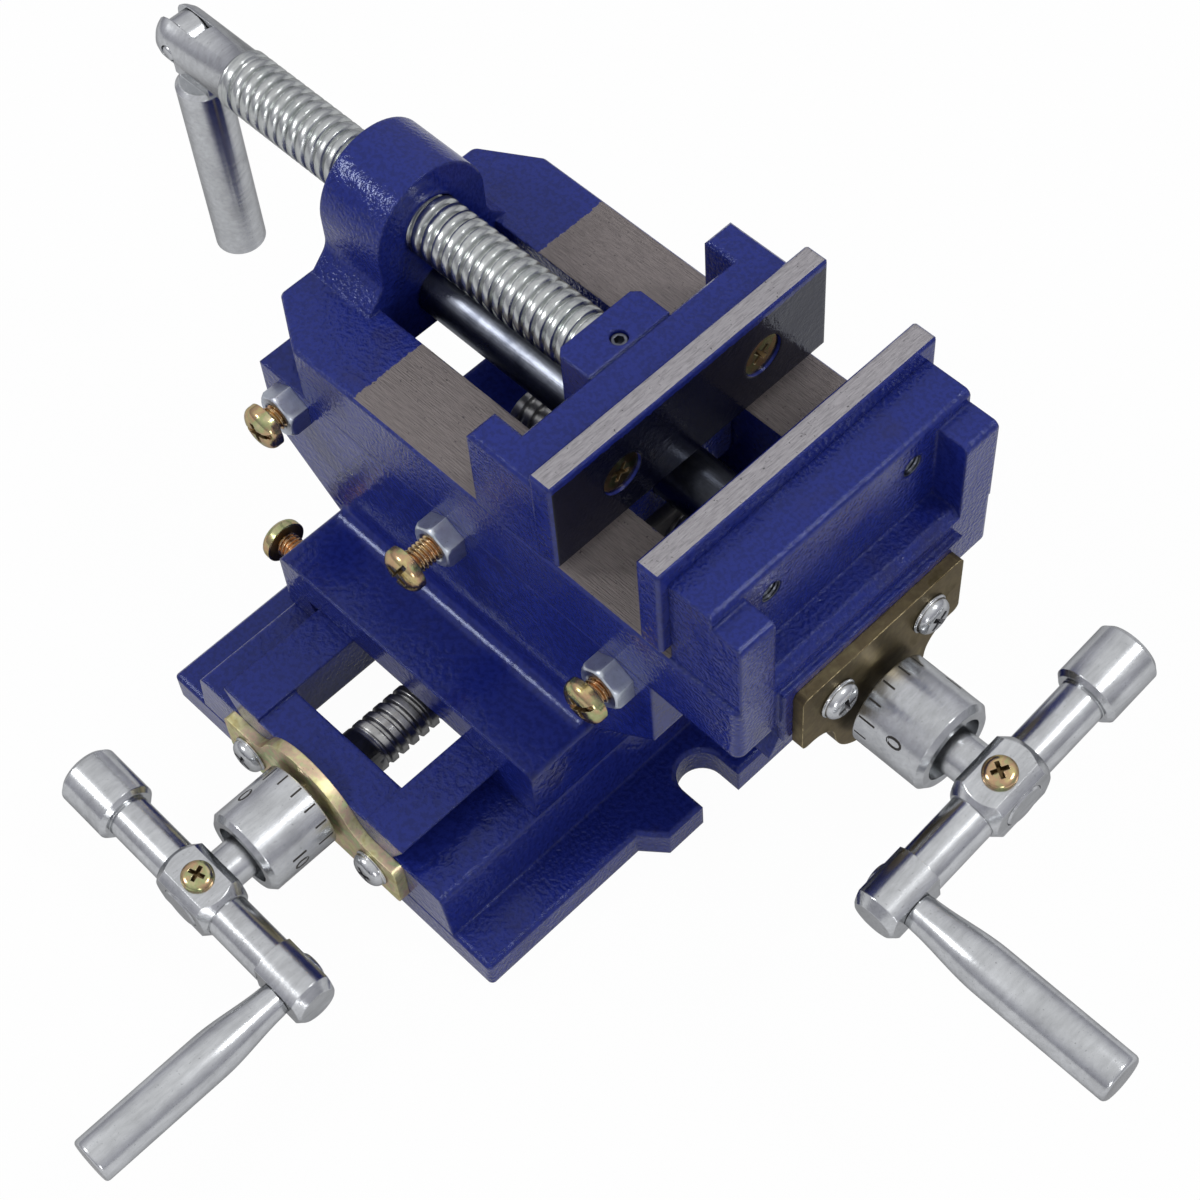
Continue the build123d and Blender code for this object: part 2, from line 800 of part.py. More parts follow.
def bed():
    """Bed plate with chamfered rear corners, its guide slot and the dovetail rails below."""
    full_x = bed_rear_x + rear_chamfer_run
    outline = polygon([
        (bed_rear_x, -rear_half_y),
        (full_x, -bed_half_y),
        (bed_front_x, -bed_half_y),
        (bed_front_x, bed_half_y),
        (full_x, bed_half_y),
        (bed_rear_x, rear_half_y),
    ], bed_corner_r)
    plate = prism_z(outline, seam_z, bed_top_z)
    plate = chamfer(plate.faces().sort_by(Axis.Z)[-1].edges(), head_r / 3)
    rails = prism_x(way_section(rail_half, rail_low_z, seam_z, 0, 0, -1), bed_rear_x + rear_chamfer_run,
                    bed_front_x)
    body = plate + rails
    body -= box(slot_rear_x, fixed_back_x, -slot_half, slot_half, rail_low_z, bed_top_z)
    body -= box(bed_rear_x, slot_rear_x, -slot_half, slot_half, rail_low_z, seam_z)
    body -= box(fixed_back_x, bed_front_x, -slot_half, slot_half, rail_low_z, web_low_z)
    return body


def rear_boss():
    """Round boss on its foot that the clamp screw turns through."""
    foot = polygon([
        (-rear_boss_r - boss_foot_r, bed_top_z),
        (rear_boss_r + boss_foot_r, bed_top_z),
        (rear_boss_r, bed_top_z + boss_foot_r),
        (rear_boss_r, clamp_axis_z),
        (-rear_boss_r, clamp_axis_z),
        (-rear_boss_r, bed_top_z + boss_foot_r),
    ], [0, 0, boss_foot_r, 0, 0, boss_foot_r])
    outline = foot + Pos(0, clamp_axis_z) * Circle(rear_boss_r)
    return prism_x(outline, rear_boss_x, slot_rear_x)


def head():
    """Fixed jaw block behind its plate, open between two ears at the front."""
    flank = polygon([
        (fixed_back_x, bed_top_z - head_r),
        (bed_front_x, bed_top_z - head_r),
        (bed_front_x, ear_top_z),
        (head_step_x, ear_top_z),
        (head_step_x, head_top_z),
        (fixed_back_x, head_top_z),
    ], [0, 0, head_r, 0, head_r, 0])
    block = prism_y(flank, -head_half_y, head_half_y)
    inner = head_half_y - ear_thick
    pocket = polygon([
        (head_step_x, pocket_floor_z),
        (bed_front_x + head_r, pocket_floor_z),
        (bed_front_x + head_r, head_top_z + head_r),
        (head_step_x, head_top_z + head_r),
    ])
    block -= prism_y(pocket, -inner, inner)
    lip = polygon([
        (bed_front_x - pocket_lip, pocket_floor_z),
        (bed_front_x, pocket_floor_z - pocket_lip),
        (bed_front_x, pocket_floor_z),
    ])
    return block - prism_y(lip, -inner, inner)


def vise_body():
    """Body casting: bed, rails, rear boss and fixed jaw block, bored for its screws and rod."""
    body = bed() + rear_boss() + head()
    body += box(bed_front_x, head_pad_x, -head_pad_half, head_pad_half, web_low_z, head_pad_high)
    body -= bar_x(rear_boss_x, slot_rear_x, 0, clamp_axis_z, clamp_r + run_clear)
    body -= bar_x(slot_rear_x - rod_bite, slot_rear_x, 0, rod_z, rod_r + run_clear)
    body -= bar_x(fixed_back_x, fixed_back_x + rod_bite, 0, rod_z, rod_r + run_clear)
    for side in (1, -1):
        body -= bar_x(fixed_back_x, head_step_x, side * jaw_screw_y, jaw_screw_z,
                      jaw_screw_r + run_clear)
        body -= bar_x(x_plate_front - plate_screw_len, head_pad_x, side * x_plate_screw_y,
                      x_plate_screw_z, plate_screw_r + run_clear)
    return Pos(0, saddle_y, 0) * body


def guide_rod():
    """Round rod in the slot that guides the moving jaw."""
    rod = bar_x(slot_rear_x - rod_bite + shoulder_clear, fixed_back_x + rod_bite - shoulder_clear,
                saddle_y, rod_z, rod_r)
    return chamfer(rod.edges().filter_by(GeomType.CIRCLE), cap_edge)


def jaw_plate(back_x, toward):
    """Jaw plate from its back face toward +X (1) or -X (-1), with countersunk screw holes."""
    front_x = back_x + toward * jaw_plate_thick
    plate = box(min(back_x, front_x), max(back_x, front_x), saddle_y - plate_half_y,
                saddle_y + plate_half_y, jaw_plate_low, jaw_plate_high)
    plate = chamfer(plate.edges(), jaw_plate_edge)
    cone = jaw_screw_head_r - jaw_screw_r
    depth = jaw_plate_thick - jaw_screw_sink
    sink = turned([
        (0, 0),
        (0, jaw_screw_r + run_clear),
        (depth - cone, jaw_screw_r + run_clear),
        (depth, jaw_screw_head_r + run_clear),
        (jaw_plate_thick, jaw_screw_head_r + run_clear),
        (jaw_plate_thick, 0),
    ])
    turn = 0 if toward > 0 else 180
    for side in (1, -1):
        plate -= Pos(back_x, saddle_y + side * jaw_screw_y, jaw_screw_z) * Rot(0, 0, turn) * sink
    return plate


def jaw_screws(back_x, toward, length):
    """Two flat head screws of a jaw plate."""
    cone = jaw_screw_head_r - jaw_screw_r
    head_x = jaw_plate_thick - jaw_screw_sink
    screw = turned([
        (head_x - length, 0),
        (head_x - length, jaw_screw_r),
        (head_x - cone, jaw_screw_r),
        (head_x, jaw_screw_head_r),
        (head_x, 0),
    ])
    turn = 0 if toward > 0 else 180
    return [Pos(back_x, saddle_y + side * jaw_screw_y, jaw_screw_z) * Rot(0, 0, turn) * screw
            for side in (1, -1)]


def moving_jaw():
    """Moving jaw casting: bar with end lugs, screw boss behind and guide below in the slot."""
    low = bed_top_z + jaw_floor_clear
    bar = box(jaw_rear_x, jaw_front_x, -jaw_half_y, jaw_half_y, low, jaw_top_z)
    lug_low = jaw_half_y - jaw_lug_width
    for side in (1, -1):
        ends = sorted((side * lug_low, side * jaw_half_y))
        bar += box(jaw_rear_x - jaw_lug_len, jaw_rear_x, ends[0], ends[1], low, jaw_top_z)
    bar = chamfer(bar.faces().sort_by(Axis.Z)[-1].edges(), head_r / 2)
    boss = box(jaw_boss_x, jaw_rear_x, -jaw_boss_half, jaw_boss_half, low, jaw_top_z)
    boss = chamfer(boss.edges().filter_by(Axis.Z).sort_by(Axis.X)[:2], head_r)
    guide_half = slot_half - guide_side_clear
    guide = box(jaw_boss_x, jaw_front_x, -guide_half, guide_half, rod_z - rod_r - guide_wall, low)
    jaw = bar + boss + guide
    jaw -= bar_x(jaw_boss_x, jaw_front_x, 0, rod_z, rod_r + run_clear)
    jaw -= bar_x(jaw_boss_x, jaw_boss_x + nose_bore_len, 0, clamp_axis_z, nose_r + run_clear)
    jaw -= bar_z(clamp_axis_z, jaw_top_z, set_screw_x(), 0, set_screw_r + run_clear)
    for side in (1, -1):
        jaw -= bar_x(jaw_front_x + jaw_plate_thick - jaw_screw_sink - jaw_screw_len, jaw_front_x,
                     side * jaw_screw_y, jaw_screw_z, jaw_screw_r + run_clear)
    return Pos(0, saddle_y, 0) * jaw


def set_screw_x():
    """Where the set screw stands over the clamp screw's groove."""
    return jaw_boss_x + nose_bore_len / 2


def jaw_set_screw():
    """Set screw in the top of the moving jaw that keeps the clamp screw's nose."""
    tip = clamp_axis_z + groove_r + set_screw_tip_gap
    return bar_z(tip, tip + set_screw_len, set_screw_x(), saddle_y, set_screw_r)


def clamp_screw():
    """Clamp screw: nose with its groove, thread, and the forked end for the handle."""
    nose_end = jaw_boss_x + nose_bore_len - shoulder_clear
    groove_low = set_screw_x() - groove_width / 2
    groove_high = set_screw_x() + groove_width / 2
    screw = turned([
        (fork_end_x, 0),
        *[(fork_end_x + back, radius) for back, radius in fork_nose],
        (thread_rear_x, fork_r),
        (thread_rear_x, clamp_r),
        (jaw_boss_x - shoulder_clear, clamp_r),
        (jaw_boss_x - shoulder_clear, nose_r),
        (groove_low, nose_r),
        (groove_low, groove_r),
        (groove_high, groove_r),
        (groove_high, nose_r),
        (nose_end, nose_r),
        (nose_end, 0),
    ])
    screw -= box(fork_end_x, fork_pin_x + fork_slot_reach, -fork_slot / 2, fork_slot / 2, -fork_r, fork_r)
    screw -= bar_y(-fork_r, fork_r, fork_pin_x, 0, pin_r)
    return Pos(0, saddle_y, clamp_axis_z) * screw


def clamp_pin():
    """Pin across the fork that the handle swings on."""
    pin = bar_y(saddle_y - pin_len / 2, saddle_y + pin_len / 2, fork_pin_x, clamp_axis_z, pin_r)
    return chamfer(pin.edges().filter_by(GeomType.CIRCLE), pin_edge)


def clamp_handle():
    """Handle bar that hangs from the fork by its flat tang."""
    shoulder_z = clamp_axis_z - handle_shoulder
    bar = bar_z(handle_end_z, shoulder_z, fork_pin_x, saddle_y, handle_r)
    bar = chamfer(bar.edges().filter_by(GeomType.CIRCLE), handle_edge)
    flat = Pos(fork_pin_x, clamp_axis_z) * Circle(tang_r)
    middle = (clamp_axis_z + shoulder_z) / 2
    flat += Pos(fork_pin_x, middle) * Rectangle(2 * tang_r, handle_shoulder)
    flat -= Pos(fork_pin_x, clamp_axis_z) * Circle(pin_r + run_clear)
    tang = prism_y(flat, saddle_y - tang_thick / 2, saddle_y + tang_thick / 2)
    return bar + tang


parts = {
    "base_casting": base_casting(),
    "y_bearing_plate": y_bearing_plate(),
    "y_plate_screws": y_plate_screws(),
    "y_lead_screw": at_y_plate(Rot(-y_crank_tilt, 0, 0) * lead_screw(
        y_screw_reach + base_half_y, -base_half_y - y_hub_y + hub_len / 2, screw_major_r)),
    "y_dial": at_y_plate(Pos(plate_thick + y_dial_gap, 0, 0) * dial()),
    "y_crank_arm": on_y_hub(Rot(0, 0, 180) * crank_arm()),
    "y_crank_screw": on_y_hub(hub_screw()),
    "y_crank_handle": on_y_hub(crank_grip(1)),
    "saddle_casting": saddle_casting(),
    "lower_gib": lower_gib(),
    "lower_gib_screws": lower_gib_screws(),
    "lower_gib_nuts": lower_gib_nuts(),
    "upper_gib": upper_gib(),
    "upper_gib_screws": upper_gib_screws(),
    "upper_gib_nuts": upper_gib_nuts(),
    "y_nut": y_nut(),
    "x_nut": x_nut(),
    "nut_screws": nut_screws(),
    "vise_body": vise_body(),
    "guide_rod": guide_rod(),
    "fixed_jaw_plate": jaw_plate(fixed_back_x, -1),
    "fixed_jaw_screws": jaw_screws(fixed_back_x, -1, jaw_screw_len),
    "x_bearing_plate": x_bearing_plate(),
    "x_plate_screws": x_plate_screws(),
    "x_lead_screw": at_x_plate(Rot(x_crank_tilt, 0, 0) * lead_screw(
        head_pad_x - x_screw_reach, x_hub_x - head_pad_x + hub_len / 2, thrust_collar_r)),
    "x_dial": at_x_plate(Pos(plate_thick + x_dial_gap, 0, 0) * dial()),
    "x_crank_arm": on_x_hub(crank_arm()),
    "x_crank_screw": on_x_hub(hub_screw()),
    "x_crank_handle": on_x_hub(crank_grip(-1)),
    "moving_jaw": moving_jaw(),
    "moving_jaw_plate": jaw_plate(jaw_front_x, 1),
    "moving_jaw_screws": jaw_screws(jaw_front_x, 1, jaw_screw_len),
    "jaw_set_screw": jaw_set_screw(),
    "clamp_screw": clamp_screw(),
    "clamp_pin": clamp_pin(),
    "clamp_handle": clamp_handle(),
}

os.makedirs("parts", exist_ok=True)
for name, shape in parts.items():
    if isinstance(shape, list):
        shape = Compound(children=shape)
    export_step(shape, os.path.join("parts", name + ".step"))
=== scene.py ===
from math import cos, degrees, pi, radians, sin, tau

import bmesh
import bpy
from mathutils import Matrix, Vector


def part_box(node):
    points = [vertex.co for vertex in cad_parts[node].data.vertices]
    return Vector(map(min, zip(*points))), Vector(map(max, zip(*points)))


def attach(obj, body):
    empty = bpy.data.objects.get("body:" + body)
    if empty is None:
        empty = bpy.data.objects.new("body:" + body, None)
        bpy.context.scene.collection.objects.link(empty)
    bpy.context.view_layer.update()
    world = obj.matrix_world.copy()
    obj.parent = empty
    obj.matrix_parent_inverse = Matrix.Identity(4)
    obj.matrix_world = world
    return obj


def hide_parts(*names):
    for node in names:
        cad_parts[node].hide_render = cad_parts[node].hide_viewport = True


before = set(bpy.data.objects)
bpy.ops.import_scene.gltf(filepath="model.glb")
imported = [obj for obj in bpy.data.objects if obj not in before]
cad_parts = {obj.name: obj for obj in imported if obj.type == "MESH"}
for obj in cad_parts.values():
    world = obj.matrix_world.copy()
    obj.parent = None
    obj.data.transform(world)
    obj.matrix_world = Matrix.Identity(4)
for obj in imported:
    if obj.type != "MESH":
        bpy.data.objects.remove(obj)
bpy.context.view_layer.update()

bl_info = {
    "name": "Cross Slide Vise",
    "version": (1, 0, 0),
    "blender": (4, 5, 0),
    "location": "View3D > Sidebar > Vise",
    "description": "Finishes, threads, screw heads and dial marks of a cross slide vise",
    "category": "Object",
}

MM = 0.001
UP = (0.0, 0.0, 1.0)

# Places and sizes that the pieces share with the model, in millimetres and degrees
SADDLE_Y = 17.0
X_AXIS_Z = 62.5
Y_AXIS_Z = 19.5
CLAMP_AXIS_Z = 104.5
X_PLATE_X = 86.3
Y_PLATE_Y = -67.4
X_HUB_X = 117.3
Y_HUB_Y = -97.2
X_TILT = 7.7
Y_TILT = -3.4
HUB_TOP = 6.5
HUB_HALF = 6.0
BOSS_OFFSET = 29.4
PLATE_THICK = 2.7
SHAFT_R = 4.9
DIAL_R = 10.5
DIAL_GAPS = {"x": 2.1, "y": 1.4}
HEAD_BACK_X = 74.4
JAW_FACE_X = 36.1
HEAD_FACE_X = 58.1
JAW_SCREW_Y = 19.3
JAW_SCREW_Z = 108.2
X_PLATE_SCREW_Y = 13.2
X_PLATE_SCREW_Z = 76.4
Y_PLATE_SCREW_X = 20.0
Y_PLATE_SCREW_Z = 15.1

# Slide screws: reach of the thread behind the plate, plain journal, and the long one's thrust collar
X_SCREW_REACH = 98.6
Y_SCREW_REACH = 114.7
X_JOURNAL = 12.0
Y_JOURNAL = 16.3
X_COLLAR_R = 8.5
COLLAR_LENGTH = 4.0

# Clamp screw: its pin, and where its thread and its neck begin
PIN_X = -116.7
PIN_R = 2.0
PIN_HALF = 6.6
CLAMP_THREAD_X = -98.7
CLAMP_NECK_X = -99.3
FORK_R = 6.5
FORK_HALF_GAP = 2.5

# Gib screws: the face and height of each row, then place along it, stand-out and spin of each screw
UPPER_ROW_Y = -19.0
UPPER_ROW_Z = 69.6
UPPER_SCREWS = ((-48.7, 9.1, 20.0), (0.0, 12.8, 65.0), (48.7, 9.2, 40.0))
LOWER_ROW_X = -40.0
LOWER_ROW_Z = 25.5
LOWER_SCREWS = ((-46.0, 12.0, 10.0), (0.0, 10.6, 50.0), (46.0, 11.4, 80.0))
GIB_HEAD = 1.8
GIB_PITCH = 1.0
GIB_THREAD_X = -6.0
GIB_TIP_X = -9.5
GIB_TIP_R = 2.0

# Thread forms: share of the pitch and radius
SLIDE_THREAD = ((0.0, 6.0), (0.5, 6.0), (0.56, 5.8), (0.66, 5.15), (0.72, 5.1), (0.86, 5.1), (0.92, 5.3),
                (0.98, 5.88))
CLAMP_THREAD = ((0.0, 6.9), (0.05, 7.0), (0.28, 6.97), (0.5, 7.0), (0.56, 6.9), (0.66, 6.15), (0.72, 5.95),
                (0.86, 5.95), (0.93, 6.2))
GIB_THREAD = ((0.0, 2.28), (0.12, 2.34), (0.42, 2.95), (0.58, 2.97), (0.88, 2.34))

# Crank grip: both ends of its turned outline, and the swell between its neck and its body
RIVET_END = ((-5.88, 2.5), (-5.7, 2.95), (-5.4, 3.3), (-5.0, 3.4), (-5.0, 2.3), (5.0, 2.3), (5.0, 3.7))
GRIP_END = ((53.3, 5.3), (53.75, 5.15), (54.05, 4.8), (54.08, 4.4))
SWELL_X = 5.0
SWELL_LENGTH = 18.0
NECK_R = 3.8
GRIP_R = 5.3

# Outlines of turned screw parts: place along the screw from its seat, and radius
WASHER = ((0.0, 4.2), (0.1, 4.6), (0.42, 4.6), (0.6, 4.2))
PLATE_SHANK = ((-10.0, 2.2), (-9.6, 2.4), (0.1, 2.4))
HUB_SHANK = ((-3.4, 2.0), (0.1, 2.0))
JAW_HEAD = ((-3.0, 2.5), (-0.85, 4.8), (-0.6, 4.8))
JAW_SHANK = ((-14.55, 2.1), (-14.1, 2.5), (-3.0, 2.5))

# Recesses: taper of the cross blades, half widths as shares of the head's radius, depth below the head's
# top where the painted shade inside begins
RECESS_TAPER = (0.45, 0.6)
RECESS_HALF = 0.155
SLOT_HALF = 0.11
RECESS_SHADE_DEPTH = 0.12

# Dial figures: angle of the zero on each dial, marks, numbers and the depth of the ink
DIAL_ZEROS = {"x": -62.0, "y": -36.0}
MARK_START = 0.4
MARK_LENGTH = 3.0
LONG_MARK_LENGTH = 4.0
MARK_HALF = 0.22
INK_TOP = 0.02
INK_FLOOR = -0.25
MARKS_PER_NUMBER = 5
COUNT_PER_MARK = 2
NUMBER_START = 6.5
NUMBER_SIZE = 5.4
NUMBER_SINK = 0.10

# Zones of bare ground iron, and of painted shade on the jaw plates' facing sides: low corner, high corner
# and the way that the face points
BED_ZONES = (((-26.2, 33.0, 86.0), (63.8, 54.2, 97.0), UP), ((-26.2, -20.2, 86.0), (63.8, 1.0, 97.0), UP))
JAW_TOP_ZONES = (((20.0, -35.0, 115.0), (70.0, 70.0, 127.0), UP),)
# Painted shade: the jaw plates' facing sides, which lie in shade between the jaws
JAW_FACE_SHADE_ZONES = (((34.0, -30.0, 80.0), (38.0, 70.0, 119.6), (1.0, 0.0, 0.0)),
                  ((56.0, -30.0, 80.0), (60.0, 70.0, 119.6), (-1.0, 0.0, 0.0)))

# Stage, in metres, watts and degrees: name, place, target, side and power of each square lamp
LAMPS = (
    ("left softbox", (-0.74, -0.87, 1.11), (0.0, 0.0, 0.05), 0.30, 5.0),
    ("right softbox", (0.77, 0.53, 1.30), (0.0, 0.0, 0.05), 0.30, 5.0),
    ("front softbox", (1.23, -0.88, 0.30), (0.05, 0.0, 0.06), 0.25, 2.2),
)
FLOOR_HALF = 6.0
FLOOR_DROP = 0.0002
CAMERA_PLACE = (0.24465, -0.18620, 0.49780)
CAMERA_AZIMUTH = -40.0649
CAMERA_ELEVATION = 57.282
CAMERA_ROLL = -5.4737
SENSOR_WIDTH = 36.0
FOCAL_PIXELS = 2534.12
PHOTO_PIXELS = 1200.0


def mm(*values):
    """A vector given in millimetres."""
    return Vector(values) * MM


class ViseFinish(bpy.types.PropertyGroup):
    """Colours of the finishes"""

    enamel: bpy.props.FloatVectorProperty(
        name="Enamel", description="Blue of the cast parts", subtype="COLOR", size=3,
        default=(0.0120, 0.0205, 0.175), min=0.0, max=1.0)
    # Painted shade: a darker blue that the hollows between the pebbles take
    painted_pebble_shade: bpy.props.FloatVectorProperty(
        name="Enamel shade", description="Darker blue between the pebbles", subtype="COLOR", size=3,
        default=(0.0085, 0.0145, 0.128), min=0.0, max=1.0)
    # Painted highlight: a lighter blue laid along the rounded edges
    edge_highlight: bpy.props.FloatVectorProperty(
        name="Edge highlight", description="Painted highlight: lighter blue along the edges", subtype="COLOR", size=3,
        default=(0.050, 0.056, 0.210), min=0.0, max=1.0)
    ground: bpy.props.FloatVectorProperty(
        name="Ground iron", description="Grey of the ground guide faces", subtype="COLOR", size=3,
        default=(0.215, 0.188, 0.178), min=0.0, max=1.0)
    yellow: bpy.props.FloatVectorProperty(
        name="Yellow passivation", description="Main colour of the yellow plated screws", subtype="COLOR",
        size=3, default=(0.66, 0.54, 0.26), min=0.0, max=1.0)
    zinc: bpy.props.FloatVectorProperty(
        name="Zinc", description="Colour of the bright plated steel", subtype="COLOR", size=3,
        default=(0.625, 0.640, 0.655), min=0.0, max=1.0)


class ViseDetail(bpy.types.PropertyGroup):
    """Sizes of the fine detail"""

    slide_pitch: bpy.props.FloatProperty(
        name="Slide screw pitch", description="Lead of the two slide screws", default=3.0 * MM,
        min=1.0 * MM, max=5.0 * MM, unit="LENGTH")
    clamp_pitch: bpy.props.FloatProperty(
        name="Clamp screw pitch", description="Lead of the clamp screw", default=3.0 * MM,
        min=1.0 * MM, max=6.0 * MM, unit="LENGTH")
    dial_marks: bpy.props.IntProperty(
        name="Dial marks", description="Divisions round each dial", default=15, min=5, max=60)


def put(tree, kind, values=None, **settings):
    """Add a node; `values` maps its inputs to numbers or to sockets that feed them."""
    node = tree.nodes.new(kind)
    for key, value in settings.items():
        setattr(node, key, value)
    for key, value in (values or {}).items():
        if isinstance(value, bpy.types.NodeSocket):
            tree.links.new(value, node.inputs[key])
        else:
            node.inputs[key].default_value = value
    return node


def math_node(tree, operation, first, second=0.0, third=0.0):
    """A math node's value."""
    return put(tree, "ShaderNodeMath", {0: first, 1: second, 2: third}, operation=operation).outputs[0]


def opaque(colour):
    """A colour of three numbers with full alpha; a socket stays as it is."""
    return colour if isinstance(colour, bpy.types.NodeSocket) else (*colour, 1.0)


def blend_colour(tree, factor, first, second, share=None):
    """A mix of two colours, by a share of the factor where one is given."""
    if share is not None:
        factor = math_node(tree, "MULTIPLY", factor, share)
    values = {0: factor, 6: opaque(first), 7: opaque(second)}
    return put(tree, "ShaderNodeMix", values, data_type="RGBA").outputs[2]


def ramp(tree, factor, stops):
    """A colour ramp over a factor."""
    node = put(tree, "ShaderNodeValToRGB", {0: factor})
    band = node.color_ramp.elements
    while len(band) < len(stops):
        band.new(0.5)
    for element, (place, colour) in zip(band, stops):
        element.position = place
        element.color = opaque(colour)
    return node.outputs[0]


def scalar_ramp(tree, factor, low, high):
    """A smooth 0 to 1 step of a factor between two values."""
    node = put(tree, "ShaderNodeMapRange", {0: factor, 1: low, 2: high}, interpolation_type="SMOOTHSTEP")
    return node.outputs[0]


def make_group(name, inputs, outputs):
    """A shader node group with named sockets, numbers but for tuples and the Normal, which are vectors.

    Returns the tree, its input node and its output node.
    """
    tree = bpy.data.node_groups.new(name, "ShaderNodeTree")
    for label, default in inputs.items():
        kind = "NodeSocketVector" if isinstance(default, tuple) else "NodeSocketFloat"
        tree.interface.new_socket(label, in_out="INPUT", socket_type=kind).default_value = default
    for label in outputs:
        kind = "NodeSocketVector" if label == "Normal" else "NodeSocketFloat"
        tree.interface.new_socket(label, in_out="OUTPUT", socket_type=kind)
    return tree, tree.nodes.new("NodeGroupInput"), tree.nodes.new("NodeGroupOutput")


def place_group(tree, name, values):
    """Put a named node group into a material."""
    return put(tree, "ShaderNodeGroup", values, node_tree=bpy.data.node_groups[name])


def zone_mask(tree, zone):
    """Mask of the faces in a zone of bare iron or of painted shade."""
    low, high, facing = zone
    group = place_group(tree, "Ground And Shade Zone", {"Low": mm(*low), "High": mm(*high), "Facing": facing})
    return group.outputs["Mask"]


def object_place(tree):
    """Object coordinates and the object normal."""
    node = put(tree, "ShaderNodeTexCoord")
    return node.outputs["Object"], node.outputs["Normal"]


def noise(tree, place, scale, detail=2.0, rough=0.5):
    """Noise value over a place."""
    node = put(tree, "ShaderNodeTexNoise", {"Vector": place, "Scale": scale, "Detail": detail,
                                            "Roughness": rough})
    return node.outputs["Fac"]


def vector_node(tree, operation, first, second):
    """A vector math node's result, which is a number for a dot product."""
    node = put(tree, "ShaderNodeVectorMath", {0: first, 1: second}, operation=operation)
    return node.outputs["Value" if operation == "DOT_PRODUCT" else "Vector"]


def group_cast_skin():
    """Pebbled skin of painted sand castings."""
    tree, into, out = make_group("Cast Skin", {"Pebbles": 900.0, "Waves": 70.0}, ("Height", "Hollow"))
    place, _ = object_place(tree)
    pebble = noise(tree, place, into.outputs["Pebbles"], 2.0, 0.5)
    wave = noise(tree, place, into.outputs["Waves"], 2.0, 0.4)
    patch = scalar_ramp(tree, noise(tree, place, 38.0, 2.0), 0.38, 0.62)
    pebble_share = math_node(tree, "MULTIPLY_ADD", patch, 0.75, 0.25)
    height = math_node(tree, "MULTIPLY", pebble, pebble_share)
    height = math_node(tree, "MULTIPLY_ADD", wave, 0.9, height)
    tree.links.new(height, out.inputs["Height"])
    # Hollow marks the low pebbles, where the enamel takes its painted shade
    tree.links.new(scalar_ramp(tree, pebble, 0.60, 0.36), out.inputs["Hollow"])


def group_ground_and_shade_zone():
    """Mask of the faces that point along a direction inside a box."""
    tree, into, out = make_group(
        "Ground And Shade Zone", {"Low": (0, 0, 0), "High": (0, 0, 0), "Facing": (0, 0, 1)}, ("Mask",))
    place, normal = object_place(tree)
    above = vector_node(tree, "SUBTRACT", place, into.outputs["Low"])
    below = vector_node(tree, "SUBTRACT", into.outputs["High"], place)
    parts = put(tree, "ShaderNodeSeparateXYZ", {0: vector_node(tree, "MINIMUM", above, below)})
    inside = math_node(tree, "MINIMUM", parts.outputs[0], parts.outputs[1])
    inside = math_node(tree, "MINIMUM", inside, parts.outputs[2])
    ragged = math_node(tree, "MULTIPLY_ADD", noise(tree, place, 900.0, 3.0), 0.0016, -0.0010)
    inside = scalar_ramp(tree, math_node(tree, "ADD", inside, ragged), 0.0, 0.0003)
    facing = vector_node(tree, "DOT_PRODUCT", normal, into.outputs["Facing"])
    flat = scalar_ramp(tree, facing, 0.90, 0.97)
    tree.links.new(math_node(tree, "MULTIPLY", inside, flat), out.inputs["Mask"])


def group_grain():
    """Fine machining grain drawn out along one axis."""
    tree, into, out = make_group(
        "Machined Grain", {"Stretch": (200, 4000, 4000), "Speckle": 1500.0}, ("Grain", "Pits", "Cloud"))
    place, _ = object_place(tree)
    lined = vector_node(tree, "MULTIPLY", place, into.outputs["Stretch"])
    tree.links.new(noise(tree, lined, 1.0, 3.0, 0.6), out.inputs["Grain"])
    speck = noise(tree, place, into.outputs["Speckle"], 2.0, 0.6)
    tree.links.new(scalar_ramp(tree, speck, 0.34, 0.26), out.inputs["Pits"])
    tree.links.new(noise(tree, place, 45.0, 4.0, 0.55), out.inputs["Cloud"])


def group_edge_highlight():
    """Mask of the outer edges, found by how a rounded normal leaves the real one; it places the painted
    edge highlight, broken into glinting spots.
    """
    tree, into, out = make_group("Rounded Edge Highlight", {"Width": 0.0006}, ("Edge", "Normal"))
    rounded = put(tree, "ShaderNodeBevel", {"Radius": into.outputs["Width"]}, samples=4)
    flat = put(tree, "ShaderNodeNewGeometry")
    likeness = vector_node(tree, "DOT_PRODUCT", rounded.outputs[0], flat.outputs["Normal"])
    place, _ = object_place(tree)
    # Noise breaks the painted edge highlight into glinting spots
    glint_spots = noise(tree, place, 700.0, 3.0, 0.6)
    edge = scalar_ramp(tree, likeness, 0.995, 0.80)
    edge = math_node(tree, "MULTIPLY", edge, scalar_ramp(tree, glint_spots, 0.40, 0.62))
    tree.links.new(edge, out.inputs["Edge"])
    tree.links.new(rounded.outputs[0], out.inputs["Normal"])


def new_material(name):
    """A material with its shader and node tree."""
    material = bpy.data.materials.new(name)
    material.use_nodes = True
    tree = material.node_tree
    return material, tree, tree.nodes["Principled BSDF"]


def bump(tree, height, strength, distance, normal):
    """A bump node's normal over another normal."""
    values = {"Height": height, "Strength": strength, "Distance": distance, "Normal": normal}
    return put(tree, "ShaderNodeBump", values).outputs[0]


